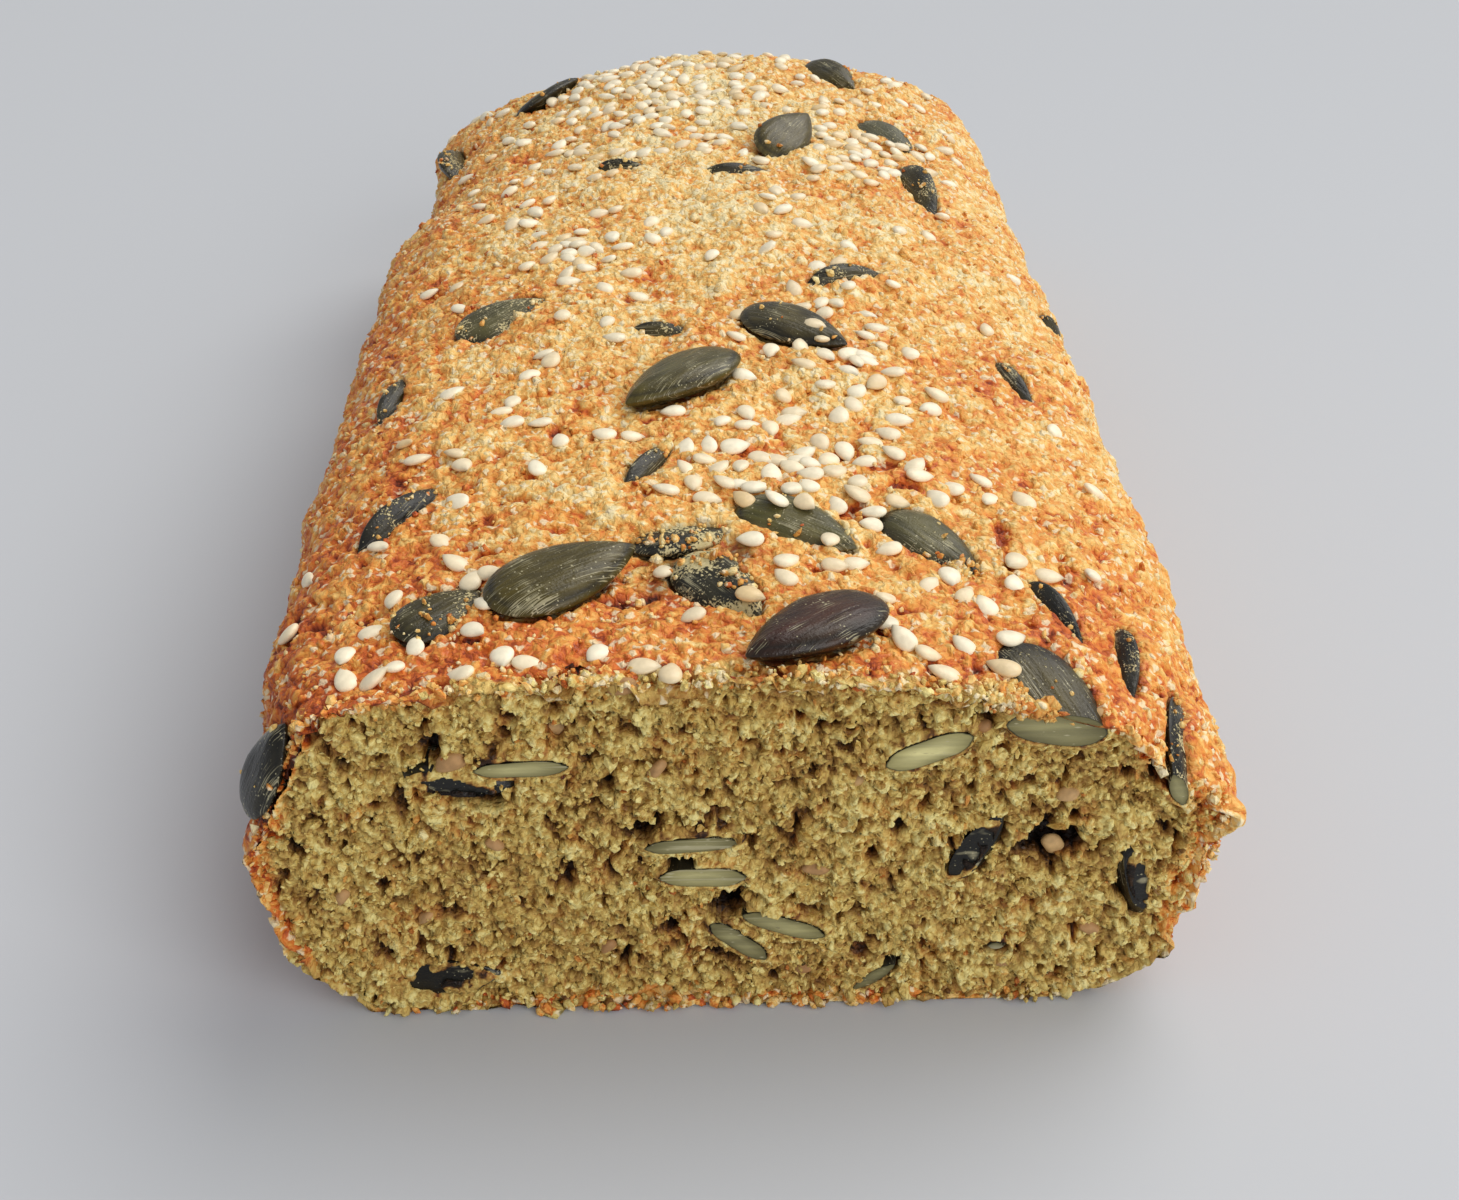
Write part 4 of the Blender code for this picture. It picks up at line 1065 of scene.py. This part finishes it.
def seed_mesh(number, length, thickness, look):
    """A pumpkin seed in its own millimetres, with its skin's colours and its share of stuck dough."""
    skin, heart, film_and_sheen, dough = look
    body = bmesh.new()
    tone = body.verts.layers.float_color.new("Tone")
    place = body.verts.layers.float_vector.new("Place")
    smear = body.verts.layers.float.new("Smear")
    colours = (skin, heart, SKIN_FILM_SHEEN, SKIN_BLACK)
    outer_skin, inner_skin, pale, black = (linear(colour) for colour in colours)

    def corner(share, angle, side):
        x, y, z = seed_point(share, angle, length, side * thickness)
        spot = Vector((x, y, z + 40.0 * number))
        groove = math.exp(-((share - 0.9) / 0.03) ** 2)
        ripple = 0.12 * noise.noise(spot / 3.0) + 0.06 * noise.noise(spot / 1.2)
        made = body.verts.new((x, y, z + side * (ripple * (1.0 - share ** 8) - 0.09 * groove)))
        middle = min(max(1.1 - share + 0.5 * noise.noise(spot / 3.5), 0.0), 1.0)
        patch = min(max(0.5 + 1.6 * noise.noise(spot / 4.0), 0.0), 1.0)
        # painted shade in the groove near the rim, and random dark mottle of the skin
        groove_shade_and_mottle = 0.6 * groove + 0.35 * max(0.0, -noise.noise(spot / 2.0))
        # pale patches of film: partly the skin's own film, partly painted sheen
        colour = mixed(mixed(outer_skin, inner_skin, middle), pale, film_and_sheen * patch)
        made[tone] = (*mixed(colour, black, groove_shade_and_mottle), 1.0)
        made[place] = spot
        made[smear] = dough * (0.55 + 1.1 * noise.noise(spot / 3.2))
        return made

    turns = [2.0 * math.pi * index / SEED_SIDES for index in range(SEED_SIDES)]
    rim = [corner(1.0, angle, 1) for angle in turns]
    for side in (1, -1):
        outer = rim
        for share in SEED_SHARES:
            inner = [corner(share, angle, side) for angle in turns]
            bridge(body, outer, inner)
            outer = inner
        body.faces.new(outer)
    bmesh.ops.recalc_face_normals(body, faces=body.faces)
    return body


def slice_seed(body, light):
    """Cut a seed just behind the knife's plane and give the section a dark rim and a pale heart, or
    where its light is 0 and the skin itself shows, cut it deeper."""
    everything = body.verts[:] + body.edges[:] + body.faces[:]
    start = (0.0, SECTION_DEPTH if light else COVERED_DEPTH, 0.0)
    cut = bmesh.ops.bisect_plane(body, geom=everything, plane_co=start, plane_no=(0.0, -1.0, 0.0),
                                 clear_outer=True)
    edges = [item for item in cut["geom_cut"] if isinstance(item, bmesh.types.BMEdge)]
    if not edges:
        return
    tone = body.verts.layers.float_color["Tone"]
    place = body.verts.layers.float_vector["Place"]
    for face in bmesh.ops.contextual_create(body, geom=edges)["faces"]:
        border = [loop.vert.co.copy() for loop in face.loops]
        middle = sum(border, Vector()) / len(border)
        bmesh.ops.delete(body, geom=[face], context="FACES_ONLY")
        outer = None
        for share, colour in SECTION_RINGS:
            shade = linear(colour) * light if light else linear(SKIN_BLACK)
            inner = [body.verts.new(mixed(middle, spot, share)) for spot in border]
            for vertex in inner:
                x, y, z = vertex.co
                vertex[tone] = (*shade, 1.0)
                vertex[place] = (0.3 * x, 0.25 * z, 900.0 + z) if light else (x, y, z)
            if outer:
                bridge(body, outer, inner)
            outer = inner
        body.faces.new(outer)
    bmesh.ops.recalc_face_normals(body, faces=body.faces)


def make_pumpkin_seeds(poses, material):
    """Every pumpkin seed as a piece of its own, in place of its solid."""
    for node, pose, length, thickness in poses:
        number = int(node[-2:])
        whole = node.startswith("pumpkin")
        look = SEED_LOOKS.get(number, COMMON_LOOK) if whole else BARED_LOOK
        body = seed_mesh(number if whole else number + 50, length, thickness, look)
        bmesh.ops.transform(body, matrix=pose, verts=body.verts)
        slice_seed(body, GRAZED_LIGHT if whole else KERNEL_LIGHT.get(number, 0.0))
        for vertex in body.verts:
            vertex.co = to_metres(vertex.co)
        mesh = bpy.data.meshes.new(node.replace("seed", "skin"))
        body.to_mesh(mesh)
        body.free()
        mesh.shade_smooth()
        mesh.set_sharp_from_angle(angle=math.radians(50))
        dressed(mesh, material, node)


# Crust stuck to the whole pumpkin seeds: bits tried on a seed all doughy, and their size
STUCK_BITS, STUCK_SIZE = 150, 0.33

# Clumps of crust over seeds: across, along, spread across and along, drop over the cut edge, bits
SEED_CLUMPS = ((-1.6, 22.2, 1.1, 1.1, 0.0, 50), (28.6, 0.5, 1.8, 0.35, 1.2, 300),
               (26.8, 1.9, 1.0, 0.9, 0.0, 80), (24.9, 22.3, 0.9, 0.8, 0.0, 70))
CLUMP_SIZE = 0.4


def make_stuck_bits(crust, poses, material):
    """Bits of crust in clumps on the bedded seeds, thickest over their rims."""
    draw = np.random.default_rng(STUCK_DRAW)
    centres = []
    for across, along, wide, deep, drop, count in SEED_CLUMPS:
        spots, normals = crust.spots(draw.normal((across, along), (wide, deep), (count, 2)))
        spots[:, 2] -= draw.uniform(0.0, drop, count)
        lift = np.maximum(depth_in_seeds(spots, poses, 2.0) + draw.uniform(-0.3, 0.4, count), 0.0)
        spots += normals * (lift * (drop == 0.0))[:, None]
        centres.extend(spots[spots[:, 1] > -0.1])
    sizes = [CLUMP_SIZE] * len(centres)
    for node, pose, length, thickness in poses:
        if node.startswith("cut"):
            continue
        number = int(node[-2:])
        dough = SEED_LOOKS.get(number, COMMON_LOOK)[3]
        for _ in range(round(STUCK_BITS * dough)):
            angle = draw.uniform(0.0, 2.0 * math.pi)
            share = math.sqrt(draw.uniform(0.05, 1.0))
            x, y, z = seed_point(share, angle, length, thickness)
            clump = noise.noise(Vector((x / 3.0, y / 3.0, 7.3 * number)))
            spot = pose @ Vector((x, y, z))
            if clump > 0.12 - 0.35 * (share > 0.85) and spot.y > 0.5:
                centres.append(spot[:])
                sizes.append(STUCK_SIZE)
    count = len(centres)
    sizes = chip_sizes(draw, np.array(sizes)[:, None], 0.35, 0.6, count)
    place, crumb = draw.uniform(0.0, 0.5, count), 0.5 * draw.uniform(0.0, 1.0, count)
    strewn("stuck_bits", draw, np.array(centres), sizes, place, crumb, material)


class Finish:
    """A material being wired: most calls add one node and give its output."""

    def __init__(self, name, roughness, specular):
        self.material = bpy.data.materials.new(name)
        self.material.use_nodes = True
        self.tree = self.material.node_tree
        self.shader = self.tree.nodes["Principled BSDF"]
        self.shader.inputs["Roughness"].default_value = roughness
        self.shader.inputs["Specular IOR Level"].default_value = specular

    def plug(self, value, socket):
        """Wire an output into a socket, or set the socket to a plain value."""
        if isinstance(value, bpy.types.NodeSocket):
            self.tree.links.new(value, socket)
        else:
            socket.default_value = value

    def node(self, kind, values, **settings):
        """Outputs of a new node, made from values by the name or number of its inputs, and settings."""
        node = self.tree.nodes.new("ShaderNode" + kind)
        for name, setting in settings.items():
            setattr(node, name, setting)
        for key, value in values.items():
            self.plug(value, node.inputs[key])
        return node.outputs

    def maths(self, operation, *values):
        return self.node("Math", dict(enumerate(values)), operation=operation)[0]

    def vector(self, operation, first, second):
        key = "Scale" if operation == "SCALE" else 1
        return self.node("VectorMath", {0: first, key: second}, operation=operation)[0]

    def total(self, *terms):
        """Sum of plain outputs and of pairs of an output and its weight."""
        result = 0.0
        for term in terms:
            value, weight = term if isinstance(term, tuple) else (term, 1.0)
            result = self.maths("MULTIPLY_ADD", value, weight, result)
        return result

    def attribute(self, name, output):
        return self.node("Attribute", {}, attribute_name=name)[output]

    def parts(self, colour):
        return self.node("SeparateColor", {0: colour})

    def millimetres(self):
        """Place on the piece, in millimetres."""
        return self.vector("SCALE", self.node("TexCoord", {})["Object"], 1000.0)

    def noise(self, place, size, detail):
        return self.node("TexNoise", {"Vector": place, "Scale": 1.0 / size, "Detail": detail})

    def cells(self, place, size):
        return self.node("TexVoronoi", {"Vector": place, "Scale": 1.0 / size}, distance="MANHATTAN")

    def spread(self, value, low, high, to_low, to_high):
        """A value's stretch from low to high, mapped to another stretch and held at its ends."""
        return self.node("MapRange", dict(enumerate((value, low, high, to_low, to_high))))[0]

    def mix(self, share, first, second):
        return self.node("Mix", {0: share, 6: first, 7: second}, data_type="RGBA")[2]

    def ramp(self, value, colours):
        node = self.tree.nodes.new("ShaderNodeValToRGB")
        stops = node.color_ramp.elements
        while len(stops) < len(colours):
            stops.new(0.5)
        for index, colour in enumerate(colours):
            stops[index].position = index / (len(colours) - 1)
            stops[index].color = (*linear(colour), 1.0)
        self.plug(value, node.inputs[0])
        return node.outputs[0]

    def finish(self, colour, relief):
        """Give the shader its colour, and its relief in millimetres."""
        bump = self.node("Bump", {"Distance": 0.001, "Height": relief})
        self.plug(bump["Normal"], self.shader.inputs["Normal"])
        self.plug(colour, self.shader.inputs["Base Color"])
        return self.material


def dough_finish(name, own_ramp, other_ramp, size, specular, cream_share, picks, depth):
    """Granular crust or crumb. The pieces' Tone holds a point's place on its own ramp, its share of the
    other ramp and its light; warped cells of two sizes and fine noise shift the place and raise grains.
    A share of the larger cells are embedded cream grains."""
    finish = Finish(name, 0.7, specular)
    tone = finish.parts(finish.attribute("Tone", "Color"))
    flat = finish.millimetres()
    push = finish.vector("SUBTRACT", finish.noise(flat, 1.5 * size, 2.0)["Color"], (0.5, 0.5, 0.5))
    spot = finish.vector("ADD", flat, finish.vector("SCALE", push, 1.3 * size))
    coarse, fine = finish.cells(spot, size), finish.cells(spot, 0.47 * size)
    dust = finish.noise(spot, 0.45 * size, 4.0)["Fac"]
    coarse_pick, fine_pick = finish.parts(coarse["Color"]), finish.parts(fine["Color"])
    # painted shade: the place darkens towards the cells' edges, in the crevices between grains
    crevice = finish.spread(coarse["Distance"], 0.6, 1.1, 0.0, 1.0)
    place = finish.total(tone[0], (coarse_pick[0], picks), (fine_pick[0], 0.7 * picks),
                         (crevice, 0.5 * picks), (dust, 0.8 * picks), (1.0, -1.3 * picks))
    colour = finish.mix(tone[1], finish.ramp(place, own_ramp), finish.ramp(place, other_ramp))
    grain = finish.maths("MULTIPLY", finish.maths("GREATER_THAN", coarse_pick[1], 1.0 - cream_share),
                         finish.spread(coarse["Distance"], 0.5, 0.7, 0.75, 0.0))
    cream = finish.vector("SCALE", (*linear(CREAM),), finish.spread(dust, 0.3, 0.7, 0.8, 1.05))
    # the Tone's light channel scales the colour: painted light and shade
    colour = finish.vector("SCALE", finish.mix(grain, colour, cream), tone[2])
    relief = finish.total((coarse["Distance"], -depth), (fine["Distance"], -0.35 * depth),
                          (dust, 0.7 * depth))
    finish.plug(finish.spread(coarse_pick[2], 0.0, 1.0, 0.36, 0.75), finish.shader.inputs["Roughness"])
    return finish.finish(colour, relief)


def grain_finish(name, roughness, specular, speckle):
    """Small smooth grains coloured by their Tone, with faint clouds in their colour."""
    finish = Finish(name, roughness, specular)
    cloud = finish.noise(finish.millimetres(), 0.9, 3.0)["Fac"]
    light = finish.spread(cloud, 0.3, 0.7, 1.0 - speckle, 1.0 + speckle)
    return finish.finish(finish.vector("SCALE", finish.attribute("Tone", "Color"), light),
                         finish.maths("MULTIPLY", cloud, 0.06))


def seed_finish():
    """Satin skin with lengthwise wrinkles, silvery scratches, pale pricks and stuck dough."""
    finish = Finish("pumpkin_seed", 0.3, 0.36)
    place = finish.attribute("Place", "Vector")
    wrinkle = finish.noise(finish.vector("MULTIPLY", place, (0.3, 2.6, 1.0)), 1.6, 4.0)["Fac"]
    hair = finish.noise(finish.vector("MULTIPLY", place, (0.3, 16.0, 1.0)), 1.5, 2.0)["Fac"]
    patch = finish.noise(place, 3.5, 2.0)["Fac"]
    scratch = finish.spread(finish.total(hair, (patch, 0.8)), 1.04, 1.14, 0.0, 0.6)
    prick = finish.total(finish.cells(place, 0.55)["Distance"], (patch, -0.8))
    prick = finish.spread(prick, -0.24, -0.16, 0.75, 0.0)
    light = finish.spread(wrinkle, 0.3, 0.7, 0.65, 1.35)
    skin = finish.vector("SCALE", finish.attribute("Tone", "Color"), light)
    skin = finish.mix(finish.maths("MAXIMUM", scratch, prick), skin, (*linear(SCRATCH), 1.0))
    grit = finish.noise(place, 0.3, 4.0)["Fac"]
    clump = finish.noise(place, 1.2, 3.0)["Fac"]
    smear = finish.attribute("Smear", "Fac")
    dough = finish.spread(finish.total(smear, (grit, 1.3), (clump, 0.7)), 1.38, 1.5, 0.0, 0.85)
    colour = finish.ramp(grit, (DOUGH, DOUGH, DOUGH_PALE))
    finish.plug(finish.total((smear, 0.5), (dough, 0.4), (1.0, 0.28)), finish.shader.inputs["Roughness"])
    relief = finish.total((wrinkle, 0.16), (dough, 0.15), (grit, 0.06))
    return finish.finish(finish.mix(dough, skin, colour), relief)


# Pale floor: side of its square and drop below the loaf in metres, and its colour
FLOOR_SIDE, FLOOR_DROP, FLOOR_GREY = 40.0, 0.0002, (196, 199, 204)

# The photograph's camera, with its pitch and turn in degrees and its focal length in pixels
CAMERA_PLACE = (-0.0044, -0.230, 0.1483)
CAMERA_PITCH, CAMERA_TURN = 35.3203, 1.7225
FOCAL_PIXELS, PHOTO_WIDTH = 1750.0, 1459.0
SENSOR = 36.0


def make_floor():
    bpy.ops.mesh.primitive_plane_add(size=FLOOR_SIDE, location=(0.0, 0.0, -FLOOR_DROP))
    floor = bpy.context.object
    floor.name = "floor"
    finish = Finish("floor", 0.85, 0.5)
    finish.plug((*linear(FLOOR_GREY), 1.0), finish.shader.inputs["Base Color"])
    floor.data.materials.append(finish.material)


def stand(name, data, place, turn):
    """A camera or light in the scene."""
    thing = bpy.data.objects.new(name, data)
    thing.location = place
    thing.rotation_euler = turn
    bpy.context.scene.collection.objects.link(thing)
    return thing


def add_light(name, kind, place, target, **settings):
    data = bpy.data.lights.new(name, kind)
    for key, value in settings.items():
        setattr(data, key, value)
    stand(name, data, place, (Vector(target) - Vector(place)).to_track_quat("-Z", "Y").to_euler())


def make_lights():
    """Soft daylight from above and behind, with a pale sky all round."""
    world = bpy.data.worlds.new("sky")
    world.use_nodes = True
    background = world.node_tree.nodes["Background"]
    background.inputs["Color"].default_value = (0.95, 0.97, 1.0, 1.0)
    background.inputs["Strength"].default_value = 0.44
    bpy.context.scene.world = world
    add_light("window", "SUN", (0.55, 0.5, 0.85), (0.0, 0.0, 0.02), energy=1.9, angle=0.9,
              color=(1.0, 0.97, 0.92))
    add_light("front_fill", "AREA", (0.6, -0.75, 0.5), (0.0, -0.05, 0.02), energy=4.7, size=0.7,
              color=(1.0, 0.98, 0.96))
    bpy.context.scene.view_settings.view_transform = "Standard"


def make_camera():
    data = bpy.data.cameras.new("camera")
    data.sensor_width = SENSOR
    data.lens = FOCAL_PIXELS / PHOTO_WIDTH * SENSOR
    data.clip_start = 0.01
    turn = (math.radians(90.0 - CAMERA_PITCH), 0.0, math.radians(-CAMERA_TURN))
    bpy.context.scene.camera = stand("camera", data, CAMERA_PLACE, turn)


make_camera()
make_lights()
make_floor()
seeds = seed_poses()
crust_finish = dough_finish("crust", CRUST_RAMP, CRUMB_RAMP, 1.15, 0.4, 0.32, 0.22, 0.28)
crumb_finish = dough_finish("crumb", CRUMB_RAMP, CRUST_RAMP, 0.95, 0.3, 0.0, 0.26, 0.2)
crust = make_crust(seeds, crust_finish)
crumb_points, crumb_edge = make_crumb(seeds, crust.outline, crumb_finish)
make_sesame(crust, seeds, grain_finish("sesame", 0.36, 0.45, 0.08))
make_crust_chips(crust, seeds, crust_finish)
make_foot_chips(crust_finish)
make_crumb_chips(crumb_points, crumb_edge, seeds, crumb_finish)
make_lentils(crumb_points, grain_finish("lentil", 0.6, 0.3, 0.2))
make_pumpkin_seeds(seeds, seed_finish())
make_stuck_bits(crust, seeds, crust_finish)
